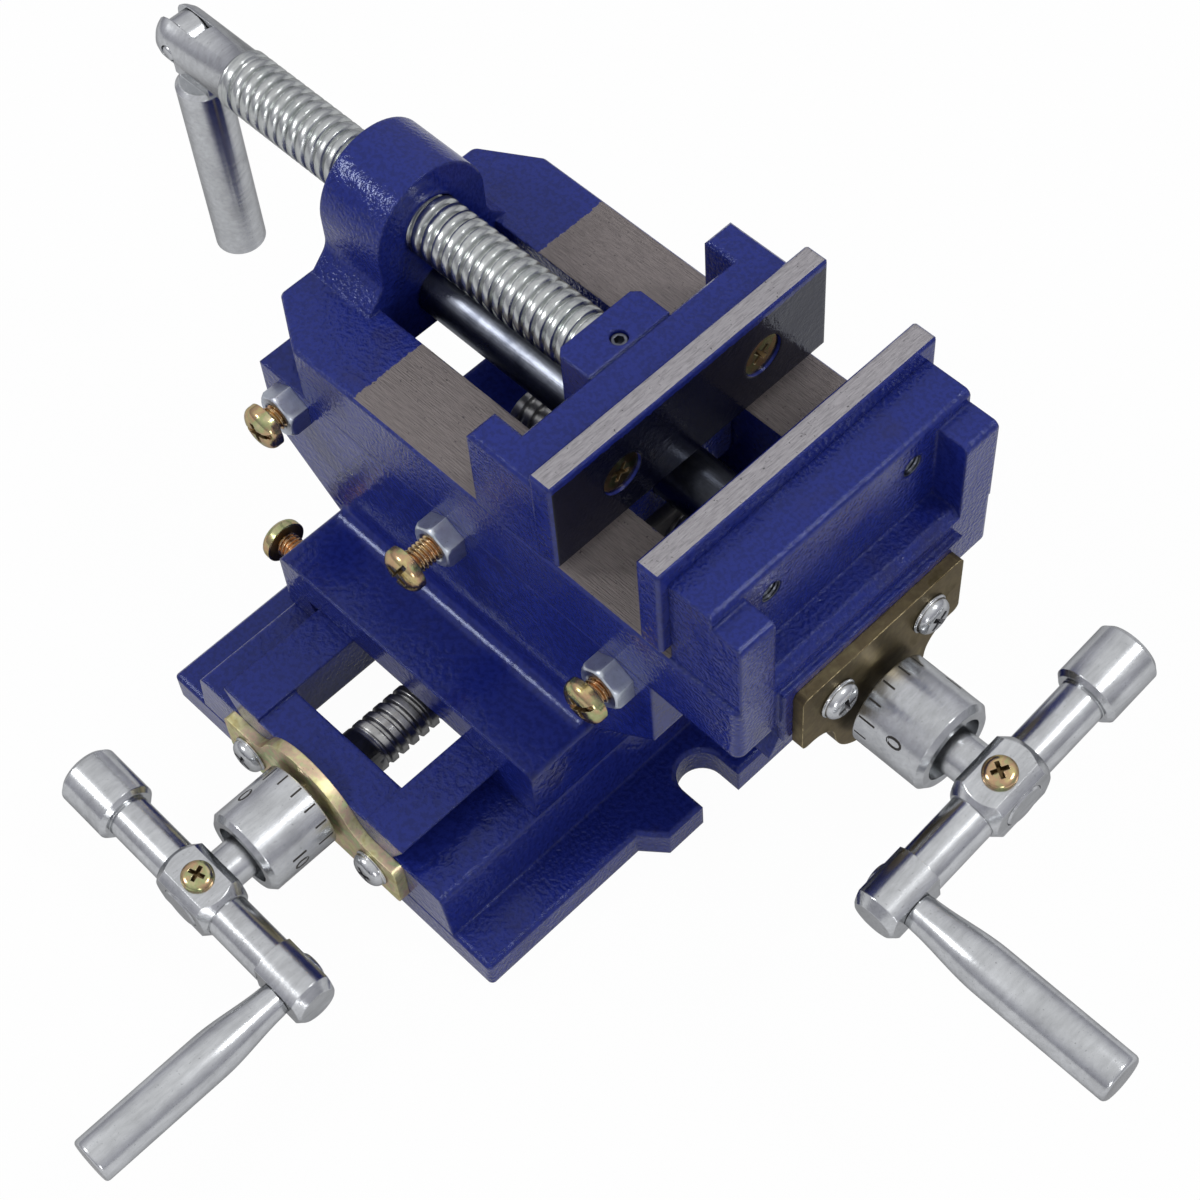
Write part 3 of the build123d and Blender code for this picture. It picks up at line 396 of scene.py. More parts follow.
def enamel_material(name, zones=(), grain=(4000, 260, 4000), ground=None, pebbles=900.0, depth=0.5,
                    shade_zones=()):
    """Blue gloss enamel over cast iron, ground bare in `zones` and painted near black as shade in
    `shade_zones`.
    """
    look = bpy.context.scene.vise_finish
    material, tree, shader = new_material(name)
    skin = place_group(tree, "Cast Skin", {"Pebbles": pebbles})
    edge = place_group(tree, "Rounded Edge Highlight", {"Width": 0.0010})
    machined = place_group(tree, "Machined Grain", {"Stretch": grain})
    # Painted shade: the hollows between the pebbles turn a darker blue
    paint = blend_colour(tree, skin.outputs["Hollow"], look.enamel, look.painted_pebble_shade)
    stain = scalar_ramp(tree, machined.outputs["Cloud"], 0.60, 0.72)
    paint = blend_colour(tree, stain, paint, (0.020, 0.017, 0.045), 0.35)
    # Painted highlight: the rounded edges turn a lighter blue
    paint = blend_colour(tree, edge.outputs["Edge"], paint, look.edge_highlight, 0.32)
    # Painted shade: faces in these zones turn near black
    for zone in shade_zones:
        paint = blend_colour(tree, zone_mask(tree, zone), paint, (0.004, 0.004, 0.006), 0.93)
    height = skin.outputs["Height"]
    rough = math_node(tree, "MULTIPLY_ADD", machined.outputs["Cloud"], 0.16, 0.06)
    colour = paint
    if zones:
        mask = zone_mask(tree, zones[0])
        for zone in zones[1:]:
            mask = math_node(tree, "MAXIMUM", mask, zone_mask(tree, zone))
        iron = ground or look.ground
        dark = [v * 0.72 for v in iron]
        light = [v * 1.22 for v in iron]
        bare = ramp(tree, machined.outputs["Grain"], [(0.30, dark), (0.5, iron), (0.72, light)])
        bare = blend_colour(tree, machined.outputs["Pits"], bare, (0.03, 0.028, 0.028), 0.8)
        colour = blend_colour(tree, mask, paint, bare)
        rough = put(tree, "ShaderNodeMix", {0: mask, 2: rough, 3: 0.5}).outputs[0]
        height = put(tree, "ShaderNodeMix", {0: mask, 2: height, 3: machined.outputs["Grain"]}).outputs[0]
        tree.links.new(math_node(tree, "MULTIPLY", mask, 0.45), shader.inputs["Metallic"])
    shader.inputs["Specular IOR Level"].default_value = 0.4
    shader.inputs["Specular Tint"].default_value = (0.68, 0.76, 1.0, 1.0)
    tree.links.new(colour, shader.inputs["Base Color"])
    tree.links.new(rough, shader.inputs["Roughness"])
    tree.links.new(bump(tree, height, depth, 0.0004, edge.outputs["Normal"]), shader.inputs["Normal"])
    return material


def plated_material(name, colours, rough=(0.18, 0.20), stretch=(500, 500, 500), metallic=1.0, depth=0.12,
                    rim=0.6, blotch=160.0, edge_highlight=None):
    """Plated or bare steel: colours drift over the surface, with fine grain, stains and a painted highlight
    along the edges.
    """
    material, tree, shader = new_material(name)
    machined = place_group(tree, "Machined Grain", {"Stretch": stretch, "Speckle": 2200.0})
    edge = place_group(tree, "Rounded Edge Highlight", {"Width": 0.0003})
    place, _ = object_place(tree)
    drift = noise(tree, place, blotch, 3.0, 0.6)
    step = 1.0 / (len(colours) - 1)
    stops = [(0.32 + 0.36 * index * step, colour) for index, colour in enumerate(colours)]
    tint = ramp(tree, drift, stops)
    shade = ramp(tree, machined.outputs["Grain"], [(0.25, (0.80, 0.80, 0.80)), (0.7, (1.0, 1.0, 1.0))])
    lined = put(tree, "ShaderNodeMix", {0: 1.0, 6: tint, 7: shade}, data_type="RGBA", blend_type="MULTIPLY")
    colour = blend_colour(tree, machined.outputs["Pits"], lined.outputs[2], (0.12, 0.12, 0.12), 0.5)
    # Painted highlight: the rounded edges take a lighter colour
    if edge_highlight is not None:
        colour = blend_colour(tree, edge.outputs["Edge"], colour, edge_highlight)
    tree.links.new(colour, shader.inputs["Base Color"])
    tree.links.new(math_node(tree, "MULTIPLY_ADD", machined.outputs["Cloud"], rough[1], rough[0]),
                   shader.inputs["Roughness"])
    shader.inputs["Metallic"].default_value = metallic
    shader.inputs["Specular Tint"].default_value = (rim, rim, rim, 1.0)
    tree.links.new(bump(tree, machined.outputs["Grain"], depth, 0.0002, edge.outputs["Normal"]),
                   shader.inputs["Normal"])
    return material


def ink_material():
    """Black paint rubbed into the dials' cut marks."""
    material, tree, shader = new_material("dial ink")
    place, _ = object_place(tree)
    stops = [(0.3, (0.008, 0.008, 0.008)), (0.75, (0.045, 0.038, 0.03))]
    tint = ramp(tree, noise(tree, place, 900.0, 3.0), stops)
    tree.links.new(tint, shader.inputs["Base Color"])
    tree.links.new(math_node(tree, "MULTIPLY_ADD", noise(tree, place, 400.0), 0.3, 0.4),
                   shader.inputs["Roughness"])
    return material


def make_materials():
    """All finishes by name."""
    look = bpy.context.scene.vise_finish
    for build in (group_cast_skin, group_ground_and_shade_zone, group_grain, group_edge_highlight):
        build()
    yellow = tuple(look.yellow)
    zinc = tuple(look.zinc)
    pale = [min(1.0, v * 1.10) for v in zinc]
    dull = [v * 0.88 for v in zinc]
    return {
        "smooth enamel": enamel_material("smooth blue enamel", pebbles=760.0, depth=0.42),
        "base enamel": enamel_material("blue enamel of the base", pebbles=1000.0, depth=0.70),
        "jaw enamel": enamel_material("rough blue enamel of the jaw", pebbles=1150.0, depth=0.95),
        "bed": enamel_material("blue enamel and ground bed", BED_ZONES, (240, 3800, 3800), pebbles=1150.0,
                               depth=0.90),
        "jaw plate": enamel_material("blue enamel with ground top and painted face shade", JAW_TOP_ZONES, (3600, 420, 3600),
                                     (0.33, 0.315, 0.325), depth=0.35, shade_zones=JAW_FACE_SHADE_ZONES),
        "yellow": plated_material("yellow passivated zinc", [
            (0.50, 0.36, 0.12), yellow, (0.62, 0.40, 0.24), (0.46, 0.50, 0.24), (0.66, 0.58, 0.34)],
            (0.12, 0.16), (700, 700, 700), edge_highlight=(0.75, 0.68, 0.45)),
        "stamped yellow": plated_material("stamped yellow zinc", [
            (0.68, 0.58, 0.26), (0.84, 0.80, 0.44), (0.84, 0.62, 0.44), (0.62, 0.72, 0.38),
            (0.92, 0.88, 0.56)], (0.28, 0.22), (600, 600, 600), depth=0.2, edge_highlight=(0.72, 0.64, 0.42)),
        "bronze": plated_material("dull bronze zinc", [
            (0.13, 0.10, 0.045), (0.19, 0.15, 0.08), (0.16, 0.125, 0.07), (0.23, 0.19, 0.10)],
            (0.26, 0.22), (600, 600, 600), depth=0.2, edge_highlight=(0.66, 0.56, 0.32)),
        # Painted shade inside the cross recesses of the yellow and the zinc screws
        "recess": plated_material("painted recess shade", [
            (0.10, 0.07, 0.03), (0.22, 0.15, 0.07), (0.16, 0.12, 0.07)], (0.4, 0.2)),
        "zinc recess": plated_material("painted zinc recess shade", [
            (0.08, 0.08, 0.08), (0.20, 0.20, 0.21), (0.14, 0.14, 0.14)], (0.3, 0.2)),
        "copper thread": plated_material("coppery thread", [
            (0.56, 0.28, 0.14), (0.76, 0.48, 0.26), (0.74, 0.60, 0.34)], (0.12, 0.2), (900, 900, 900),
            edge_highlight=(0.86, 0.70, 0.44)),
        "zinc": plated_material("bright zinc plate", [dull, zinc, pale], (0.14, 0.18), (900, 160, 900),
                                blotch=110.0, rim=0.5, edge_highlight=(0.82, 0.83, 0.84)),
        "blue zinc": plated_material("blue zinc plate", [
            (0.52, 0.57, 0.64), (0.66, 0.71, 0.78), (0.58, 0.60, 0.68)], (0.26, 0.2), rim=0.7,
            edge_highlight=(0.86, 0.88, 0.92)),
        # Oiled dark steel, also painted shade inside the jaw's tapped holes
        "dark steel": plated_material("oiled dark steel", [
            (0.10, 0.11, 0.14), (0.19, 0.205, 0.24), (0.14, 0.15, 0.18)], (0.20, 0.2), (300, 3000, 3000)),
        "slide thread": plated_material("cut slide screw", [
            (0.34, 0.34, 0.34), (0.52, 0.52, 0.51), (0.42, 0.42, 0.42)], (0.20, 0.2), (2600, 300, 300),
            rim=0.45),
        "clamp thread": plated_material("plated clamp screw", [
            (0.48, 0.51, 0.50), (0.60, 0.62, 0.61), (0.54, 0.56, 0.56)], (0.16, 0.18), (2800, 300, 300),
            rim=0.5, blotch=240.0),
        "nut iron": plated_material("cast nut", [
            (0.16, 0.16, 0.16), (0.26, 0.25, 0.24), (0.2, 0.2, 0.2)], (0.4, 0.2), (600, 600, 600), 0.6),
        "ink": ink_material(),
    }


MATERIALS = {}


def finish_mesh(mesh, name, material, body, smooth_angle=35.0):
    """Turn a bmesh into a piece that rides on a body."""
    bmesh.ops.remove_doubles(mesh, verts=mesh.verts, dist=1e-7)
    bmesh.ops.recalc_face_normals(mesh, faces=mesh.faces)
    data = bpy.data.meshes.new(name)
    mesh.to_mesh(data)
    mesh.free()
    piece = bpy.data.objects.new(name, data)
    bpy.context.scene.collection.objects.link(piece)
    materials = material if isinstance(material, (list, tuple)) else [material]
    for each in materials:
        data.materials.append(MATERIALS[each])
    shade_smooth(data, smooth_angle)
    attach(piece, body)
    return piece


def shade_smooth(data, angle):
    """Smooth shading with sharp edges above an angle."""
    work = bmesh.new()
    work.from_mesh(data)
    for face in work.faces:
        face.smooth = True
    for edge in work.edges:
        if len(edge.link_faces) == 2:
            edge.smooth = edge.calc_face_angle(0.0) < radians(angle)
    work.to_mesh(data)
    work.free()


def ring_rows(mesh, rows, steps, bored=False):
    """Join rows of rings about X into a solid, capped or bored; each row gives a point for a step."""
    rings = [[mesh.verts.new(row(index)) for index in range(steps)] for row in rows]
    for first, second in zip(rings, rings[1:] + rings[:1] if bored else rings[1:]):
        for index in range(steps):
            after = (index + 1) % steps
            mesh.faces.new((first[index], first[after], second[after], second[index]))
    if not bored:
        mesh.faces.new(list(reversed(rings[0])))
        mesh.faces.new(rings[-1])


def lathe(points, steps=40, matrix=None, bored=False):
    """A turned solid about +X from (x, radius) points in millimetres, moved by a matrix."""
    mesh = bmesh.new()
    ring_rows(mesh, [plain_row(x, radius, steps) for x, radius in points], steps, bored)
    if matrix is not None:
        mesh.transform(matrix)
    return mesh


def threaded(start, end, profile, pitch, fades=(0.01, 0.01), steps=40):
    """A right-hand thread about +X cut square at both ends; `profile` is (share of pitch, radius).

    The grid runs along the helix, so that crests stay clean, and the groove fades over `fades`.
    """
    crest = max(radius for _, radius in profile)
    count = len(profile)
    mesh = bmesh.new()
    rows = []
    for turn in range(int(start / pitch) - 3, int(end / pitch) + 3):
        for share, radius in profile:
            row = []
            for index in range(steps):
                x = pitch * (turn + share + index / steps)
                fade = max(0.0, min(1.0, (x - start) / fades[0], (end - x) / fades[1]))
                row.append(mesh.verts.new(plain_row(x, crest - (crest - radius) * fade, steps)(index)))
            rows.append(row)
    for number, row in enumerate(rows[:-1]):
        below = rows[number + 1]
        for index in range(steps - 1):
            mesh.faces.new((row[index], below[index], below[index + 1], row[index + 1]))
        if number + 1 + count < len(rows):
            mesh.faces.new((row[-1], below[-1], rows[number + 1 + count][0], rows[number + count][0]))
    for place, side in ((start, -1.0), (end, 1.0)):
        bmesh.ops.bisect_plane(mesh, geom=mesh.verts[:] + mesh.edges[:] + mesh.faces[:], dist=1e-8,
                               plane_co=mm(place, 0, 0), plane_no=(side, 0, 0), clear_outer=True)
    bmesh.ops.holes_fill(mesh, edges=[edge for edge in mesh.edges if edge.is_boundary], sides=0)
    return mesh


def plain_row(x, radius, steps):
    """A plain round row."""
    return lambda index: mm(x, radius * cos(tau * index / steps), radius * sin(tau * index / steps))


def boxed(mesh, low, high):
    """Add a block between two corners in millimetres."""
    made = bmesh.ops.create_cube(mesh, size=1.0)["verts"]
    size = mm(*high) - mm(*low)
    middle = (mm(*high) + mm(*low)) / 2
    for vert in made:
        vert.co = Vector((vert.co.x * size.x, vert.co.y * size.y, vert.co.z * size.z)) + middle
    return made


def cut_mesh(solid, tool):
    """Take one closed bmesh out of another and return the result."""
    pieces = []
    for label, mesh in (("cut solid", solid), ("cut tool", tool)):
        bmesh.ops.recalc_face_normals(mesh, faces=mesh.faces)
        data = bpy.data.meshes.new(label)
        mesh.to_mesh(data)
        mesh.free()
        piece = bpy.data.objects.new(label, data)
        bpy.context.scene.collection.objects.link(piece)
        pieces.append(piece)
    modifier = pieces[0].modifiers.new("cut", "BOOLEAN")
    modifier.operation = "DIFFERENCE"
    modifier.solver = "EXACT"
    modifier.object = pieces[1]
    bpy.context.view_layer.update()
    graph = bpy.context.evaluated_depsgraph_get()
    result = bpy.data.meshes.new_from_object(pieces[0].evaluated_get(graph))
    mesh = bmesh.new()
    mesh.from_mesh(result)
    for piece in pieces:
        data = piece.data
        bpy.data.objects.remove(piece)
        bpy.data.meshes.remove(data)
    bpy.data.meshes.remove(result)
    return mesh


def cross_blade(head_x, depth, reach, width, turn):
    """One tapered blade of a cross recess, for a head facing +X at head_x."""
    tool = bmesh.new()
    verts = boxed(tool, (head_x - depth, -reach, -width), (head_x + 1.0, reach, width))
    for vert in verts:
        if vert.co.x < head_x * MM:
            vert.co.y *= RECESS_TAPER[0]
            vert.co.z *= RECESS_TAPER[1]
        vert.co = Matrix.Rotation(radians(turn), 4, "X") @ vert.co
    return tool


def cross_cut(solid, head_x, depth, reach, width):
    """Cut a cross recess, and give its inside the second material, a painted shade."""
    for turn in (0.0, 90.0):
        solid = cut_mesh(solid, cross_blade(head_x, depth, reach, width, turn))
    # Faces deep in the recess take the painted shade
    for face in solid.faces:
        middle = face.calc_center_median()
        if middle.x < (head_x - RECESS_SHADE_DEPTH) * MM and middle.yz.length < reach * MM:
            face.material_index = 1
    return solid


def dome(height, radius, crown, steps=8):
    """Profile of a pan head from its seat at x = 0 to its flat top."""
    points = [(0.0, radius * 0.94), (0.12, radius)]
    for step in range(steps + 1):
        angle = pi / 2 * step / steps
        points.append((height - crown + crown * sin(angle), radius - radius * 0.55 * (1 - cos(angle))))
    return points


def pan_head(radius, height, crown, recess, slot=False, reach=0.60):
    """Pan head facing +X with its seat at x = 0 and a cross recess, and a slot if asked."""
    solid = lathe(dome(height, radius, crown))
    if slot:
        tool = bmesh.new()
        half = radius * SLOT_HALF
        boxed(tool, (height - recess * 0.5, -radius * 1.1, -half), (height + 1.0, radius * 1.1, half))
        solid = cut_mesh(solid, tool)
    return cross_cut(solid, height, recess, radius * reach, radius * RECESS_HALF)


def add_mesh(whole, mesh):
    """Add a bmesh to another one and free it."""
    data = bpy.data.meshes.new("joined")
    mesh.to_mesh(data)
    mesh.free()
    whole.from_mesh(data)
    bpy.data.meshes.remove(data)


def merge(meshes):
    """Join bmeshes into one; each comes with the material index of its first material."""
    whole = bmesh.new()
    for mesh, index in meshes:
        for face in mesh.faces:
            face.material_index += index
        add_mesh(whole, mesh)
    return whole


def moved(mesh, matrix):
    """A bmesh moved by a matrix."""
    mesh.transform(matrix)
    return mesh


def along(direction, place, spin=0.0):
    """A matrix that turns +X onto a direction, spun about it and placed at a point in millimetres."""
    turn = {
        "+X": Matrix.Identity(4),
        "-X": Matrix.Rotation(pi, 4, "Z"),
        "-Y": Matrix.Rotation(-pi / 2, 4, "Z"),
        "+Y": Matrix.Rotation(pi / 2, 4, "Z"),
        "+Z": Matrix.Rotation(-pi / 2, 4, "Y"),
    }[direction]
    return Matrix.Translation(mm(*place)) @ turn @ Matrix.Rotation(radians(spin), 4, "X")


def x_line(tilt=0.0):
    """Matrix of the long screw's line from x = 0 at its plate's front."""
    return along("+X", (X_PLATE_X, SADDLE_Y, X_AXIS_Z), tilt)


def y_line(tilt=0.0):
    """Matrix of the base screw's line from x = 0 at its plate's front, +X pointing outward."""
    return along("-Y", (0.0, Y_PLATE_Y, Y_AXIS_Z), tilt)


def gib_rows():
    """Screws, nuts and direction of each row of gib screws, with each screw's place, stand-out and spin."""
    upper = [((x, UPPER_ROW_Y, UPPER_ROW_Z), stand, spin) for x, stand, spin in UPPER_SCREWS]
    lower = [((LOWER_ROW_X, SADDLE_Y + y, LOWER_ROW_Z), stand, spin) for y, stand, spin in LOWER_SCREWS]
    return (("upper_gib_screws", "upper_gib_nuts", "-Y", upper),
            ("lower_gib_screws", "lower_gib_nuts", "-X", lower))


def x_hub():
    """Matrix of the long screw's hub."""
    return x_line(X_TILT) @ Matrix.Translation(mm(X_HUB_X - X_PLATE_X, 0, 0))


def y_hub():
    """Matrix of the base screw's hub."""
    return y_line(Y_TILT) @ Matrix.Translation(mm(Y_PLATE_Y - Y_HUB_Y, 0, 0))


class VISE_OT_finishes(bpy.types.Operator):
    """Give every cast, plated and turned part its finish"""

    bl_idname = "vise.finishes"
    bl_label = "Finishes"

    def execute(self, context):
        MATERIALS.update(make_materials())
        finishes = {
            "base enamel": ["base_casting"],
            "smooth enamel": ["saddle_casting"],
            "jaw enamel": ["moving_jaw"],
            "bed": ["vise_body"],
            "jaw plate": ["fixed_jaw_plate", "moving_jaw_plate"],
            "stamped yellow": ["y_bearing_plate"],
            "bronze": ["x_bearing_plate"],
            "yellow": ["y_crank_screw", "x_crank_screw", "fixed_jaw_screws", "moving_jaw_screws",
                       "lower_gib_screws", "upper_gib_screws"],
            "blue zinc": ["lower_gib_nuts", "upper_gib_nuts"],
            "zinc": ["y_plate_screws", "x_plate_screws", "y_dial", "x_dial", "y_crank_arm", "x_crank_arm",
                     "y_crank_handle", "x_crank_handle", "clamp_pin", "clamp_handle"],
            "dark steel": ["y_lead_screw", "x_lead_screw", "guide_rod", "nut_screws", "jaw_set_screw"],
            "clamp thread": ["clamp_screw", "lower_gib", "upper_gib"],
            "nut iron": ["y_nut", "x_nut"],
        }
        for finish, names in finishes.items():
            for name in names:
                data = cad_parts[name].data
                data.materials.clear()
                data.materials.append(MATERIALS[finish])
        return {"FINISHED"}


class VISE_OT_slide_screws(bpy.types.Operator):
    """Cut the threads of the two slide screws and turn their shafts"""

    bl_idname = "vise.slide_screws"
    bl_label = "Slide screws"

    def execute(self, context):
        pitch = context.scene.vise_detail.slide_pitch / MM
        crest = SLIDE_THREAD[0][1]
        shoulder = -PLATE_THICK - 0.1
        for body, node, line, reach, journal, collar, hub in (
                ("y_screw", "y_lead_screw", y_line(Y_TILT), Y_SCREW_REACH, Y_JOURNAL, SHAFT_R,
                 Y_PLATE_Y - Y_HUB_Y),
                ("x_screw", "x_lead_screw", x_line(X_TILT), X_SCREW_REACH, X_JOURNAL, X_COLLAR_R,
                 X_HUB_X - X_PLATE_X)):
            end = hub + HUB_HALF + 0.3
            thread = threaded(-PLATE_THICK - reach, -journal, SLIDE_THREAD, pitch, (2.0, 4.0))
            plain = [(-journal, crest), (shoulder - COLLAR_LENGTH, crest)]
            if collar > crest:
                plain += [(shoulder - COLLAR_LENGTH, collar), (shoulder, collar)]
            else:
                plain += [(shoulder, crest)]
            plain += [(shoulder, SHAFT_R), (end - 0.55, SHAFT_R), (end, SHAFT_R - 0.5)]
            mesh = moved(merge([(thread, 0), (lathe(plain), 0)]), line)
            piece = finish_mesh(mesh, node.replace("lead", "threaded"), ["slide thread", "zinc"], body,
                                40)
            back = line.inverted()
            for face in piece.data.polygons:
                face.material_index = 1 if (back @ face.center).x > -PLATE_THICK * MM else 0
            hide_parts(node)
        return {"FINISHED"}


class VISE_OT_clamp_screw(bpy.types.Operator):
    """Build the threaded clamp screw with its forked end and riveted pin"""

    bl_idname = "vise.clamp_screw"
    bl_label = "Clamp screw"

    def execute(self, context):
        pitch = context.scene.vise_detail.clamp_pitch / MM
        low, high = (corner.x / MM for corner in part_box("clamp_screw"))
        nose_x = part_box("moving_jaw")[0].x / MM - 0.2
        thread = threaded(CLAMP_THREAD_X, nose_x, CLAMP_THREAD, pitch, (3.5, 1.5), 52)
        nose = lathe([(nose_x, 5.0), (high, 5.0)])
        fork = lathe([(low, 2.7), (low + 0.35, 3.9), (low + 1.1, 5.0), (low + 2.3, 5.95), (low + 3.9, 6.45),
                      (low + 5.2, FORK_R), (CLAMP_NECK_X, FORK_R), (CLAMP_THREAD_X, 6.95)], 52)
        gap = bmesh.new()
        boxed(gap, (low - 2.0, -FORK_HALF_GAP, -8.0), (PIN_X + 6.5, FORK_HALF_GAP, 8.0))
        fork = cut_mesh(fork, gap)
        hole = lathe([(-9.0, PIN_R + 0.05), (9.0, PIN_R + 0.05)], 24, along("+Y", (PIN_X, 0.0, 0.0)))
        fork = cut_mesh(fork, hole)
        place = Matrix.Translation(mm(0.0, SADDLE_Y, CLAMP_AXIS_Z))
        mesh = moved(merge([(thread, 0), (nose, 0), (fork, 1)]), place)
        piece = finish_mesh(mesh, "clamp_screw_threaded", ["clamp thread", "zinc"], "clamp",
                            40)
        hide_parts("clamp_screw")
        ends = [(-PIN_HALF, 1.1), (-PIN_HALF + 0.25, 1.6), (-PIN_HALF + 0.7, 1.9), (-PIN_HALF + 1.2, PIN_R)]
        pin = lathe(ends + [(-x, radius) for x, radius in reversed(ends)], 28,
                    along("+Y", (PIN_X, SADDLE_Y, CLAMP_AXIS_Z)))
        piece = finish_mesh(pin, "clamp_pin_riveted", "zinc", "clamp", 50)
        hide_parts("clamp_pin")
        return {"FINISHED"}


class VISE_OT_gib_screws(bpy.types.Operator):
    """Build the gib screws with cross recessed heads and coppery threads"""

    bl_idname = "vise.gib_screws"
    bl_label = "Gib screws"

    def execute(self, context):
        for node, _, direction, screws in gib_rows():
            meshes = []
            for place, stand, spin in screws:
                matrix = along(direction, place, spin)
                seat = stand - GIB_HEAD
                head = pan_head(radius=5.2, height=3.55, crown=2.1, recess=2.2, slot=True)
                thread = threaded(GIB_THREAD_X, seat, GIB_THREAD, GIB_PITCH, steps=28)
                meshes.append((moved(head, matrix @ Matrix.Translation(mm(seat, 0, 0))), 0))
                meshes.append((moved(thread, matrix), 2))
                meshes.append((lathe([(GIB_TIP_X, GIB_TIP_R), (GIB_THREAD_X, GIB_TIP_R)], 20, matrix), 2))
            piece = finish_mesh(merge(meshes), node + "_threaded", ["yellow", "recess", "copper thread"],
                                "saddle")
            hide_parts(node)
        return {"FINISHED"}


class VISE_OT_lock_nuts(bpy.types.Operator):
    """Build the hex lock nuts with turned corners and open bores"""

    bl_idname = "vise.lock_nuts"
    bl_label = "Lock nuts"

    def execute(self, context):
        for _, node, direction, screws in gib_rows():
            meshes = [(moved(hex_nut(), along(direction, place)), 0) for place, _, _ in screws]
            piece = finish_mesh(merge(meshes), node + "_chamfered", "blue zinc", "saddle", 25)
            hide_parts(node)
        return {"FINISHED"}


def tapped_lining(start, end, outer=2.56, crest=2.1, pitch=0.8):
    """Dark cut thread that lines a tapped hole about +X between two places."""
    points = [(start, outer - 0.04)]
    steps = int((end - start) / pitch * 2)
    for step in range(steps + 1):
        points.append((start + step * pitch / 2, outer - 0.08 if step % 2 else crest))
    points += [(end, outer - 0.04), (end, outer), (start, outer)]
    return lathe(points, 24, bored=True)


def hex_nut(flats=10.0, thick=5.0, bore=3.05):
    """Hex nut about +X standing on x = 0, its outer corners turned to a cone."""
    corner = flats / 2 / cos(pi / 6)
    steps = 60

    def hex_row(x, limit):
        def point(index):
            angle = tau * index / steps
            radius = min(flats / 2 / cos(((angle + pi / 6) % (pi / 3)) - pi / 6), limit)
            return mm(x, radius * cos(angle), radius * sin(angle))
        return point

    rows = [hex_row(x, limit) for x, limit in (
        (0.0, corner), (thick - 1.2, corner), (thick - 0.75, corner - 0.22), (thick - 0.35, corner - 0.5),
        (thick, corner - 0.95))]
    rows += [plain_row(x, radius, steps) for x, radius in
             ((thick, bore + 0.5), (thick - 0.5, bore), (0.0, bore))]
    mesh = bmesh.new()
    ring_rows(mesh, rows, steps, bored=True)
    return mesh


class VISE_OT_plate_screws(bpy.types.Operator):
    """Build the recessed screws of the bearing plates and of both hubs"""

    bl_idname = "vise.plate_screws"
    bl_label = "Plate and hub screws"

    def execute(self, context):
        groups = (
            ("y_plate_screws", "-Y", "base",
             [((Y_PLATE_SCREW_X, Y_PLATE_Y, Y_PLATE_SCREW_Z), 25.0),
              ((-Y_PLATE_SCREW_X, Y_PLATE_Y, Y_PLATE_SCREW_Z), 70.0)]),
            ("x_plate_screws", "+X", "body",
             [((X_PLATE_X, SADDLE_Y + X_PLATE_SCREW_Y, X_PLATE_SCREW_Z), 40.0),
              ((X_PLATE_X, SADDLE_Y - X_PLATE_SCREW_Y, X_PLATE_SCREW_Z), 10.0)]),
        )
        for node, direction, body, screws in groups:
            meshes = []
            for place, spin in screws:
                matrix = along(direction, place, spin)
                head = pan_head(radius=4.25, height=2.85, crown=2.0, recess=2.2, reach=0.70)
                meshes.append((moved(head, matrix), 0))
                meshes.append((lathe(WASHER, 40, matrix), 0))
                meshes.append((lathe(PLATE_SHANK, 20, matrix), 0))
            piece = finish_mesh(merge(meshes), node + "_recessed", ["zinc", "zinc recess"], body)
            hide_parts(node)
        for node, body, line, spin in (("x_crank_screw", "x_screw", x_hub(), 62.0),
                                       ("y_crank_screw", "y_screw", y_hub(), 20.0)):
            matrix = line @ along("+Z", (0.0, 0.0, HUB_TOP), spin)
            head = pan_head(radius=3.6, height=1.75, crown=1.2, recess=1.5, reach=0.68)
            mesh = moved(merge([(head, 0), (lathe(HUB_SHANK, 20), 0)]), matrix)
            piece = finish_mesh(mesh, node + "_recessed", ["yellow", "recess"], body)
            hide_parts(node)
        return {"FINISHED"}


class VISE_OT_jaw_screws(bpy.types.Operator):
    """Build the countersunk screws of both jaw plates and the jaw's socket set screw"""

    bl_idname = "vise.jaw_screws"
    bl_label = "Jaw screws"

    def execute(self, context):
        for node, direction, body, face_x, spins in (
                ("moving_jaw_screws", "+X", "jaw", JAW_FACE_X, (35.0, 60.0)),
                ("fixed_jaw_screws", "-X", "body", HEAD_FACE_X, (15.0, 50.0))):
            meshes = []
            for side, spin in zip((1, -1), spins):
                matrix = along(direction, (face_x, SADDLE_Y + side * JAW_SCREW_Y, JAW_SCREW_Z), spin)
                head = cross_cut(lathe(JAW_HEAD, 36), JAW_HEAD[-1][0], depth=2.0, reach=2.9, width=0.62)
                meshes.append((moved(head, matrix), 0))
                # The shanks and the fixed jaw's thread lining take the dark steel as painted shade inside
                # the tapped holes
                meshes.append((lathe(JAW_SHANK, 24, matrix), 2))
                if node == "fixed_jaw_screws":
                    lining = tapped_lining(face_x - HEAD_BACK_X, JAW_SHANK[0][0] - 0.05)
                    meshes.append((moved(lining, matrix), 2))
            piece = finish_mesh(merge(meshes), node + "_recessed", ["yellow", "recess", "dark steel"], body)
            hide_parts(node)
        low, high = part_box("jaw_set_screw")
        length = (high.z - low.z) / MM
        screw = lathe([(-length, 1.5), (-length + 0.4, 1.85), (-0.3, 1.85), (-0.02, 1.6)], 24)
        screw = cut_mesh(screw, lathe([(-2.2, 1.12), (1.0, 1.12)], 6))
        middle = (low + high) / 2 / MM
        mesh = moved(screw, along("+Z", (middle.x, middle.y, high.z / MM)))
        piece = finish_mesh(mesh, "jaw_set_screw_socket", "dark steel", "jaw")
        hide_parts("jaw_set_screw")
        return {"FINISHED"}


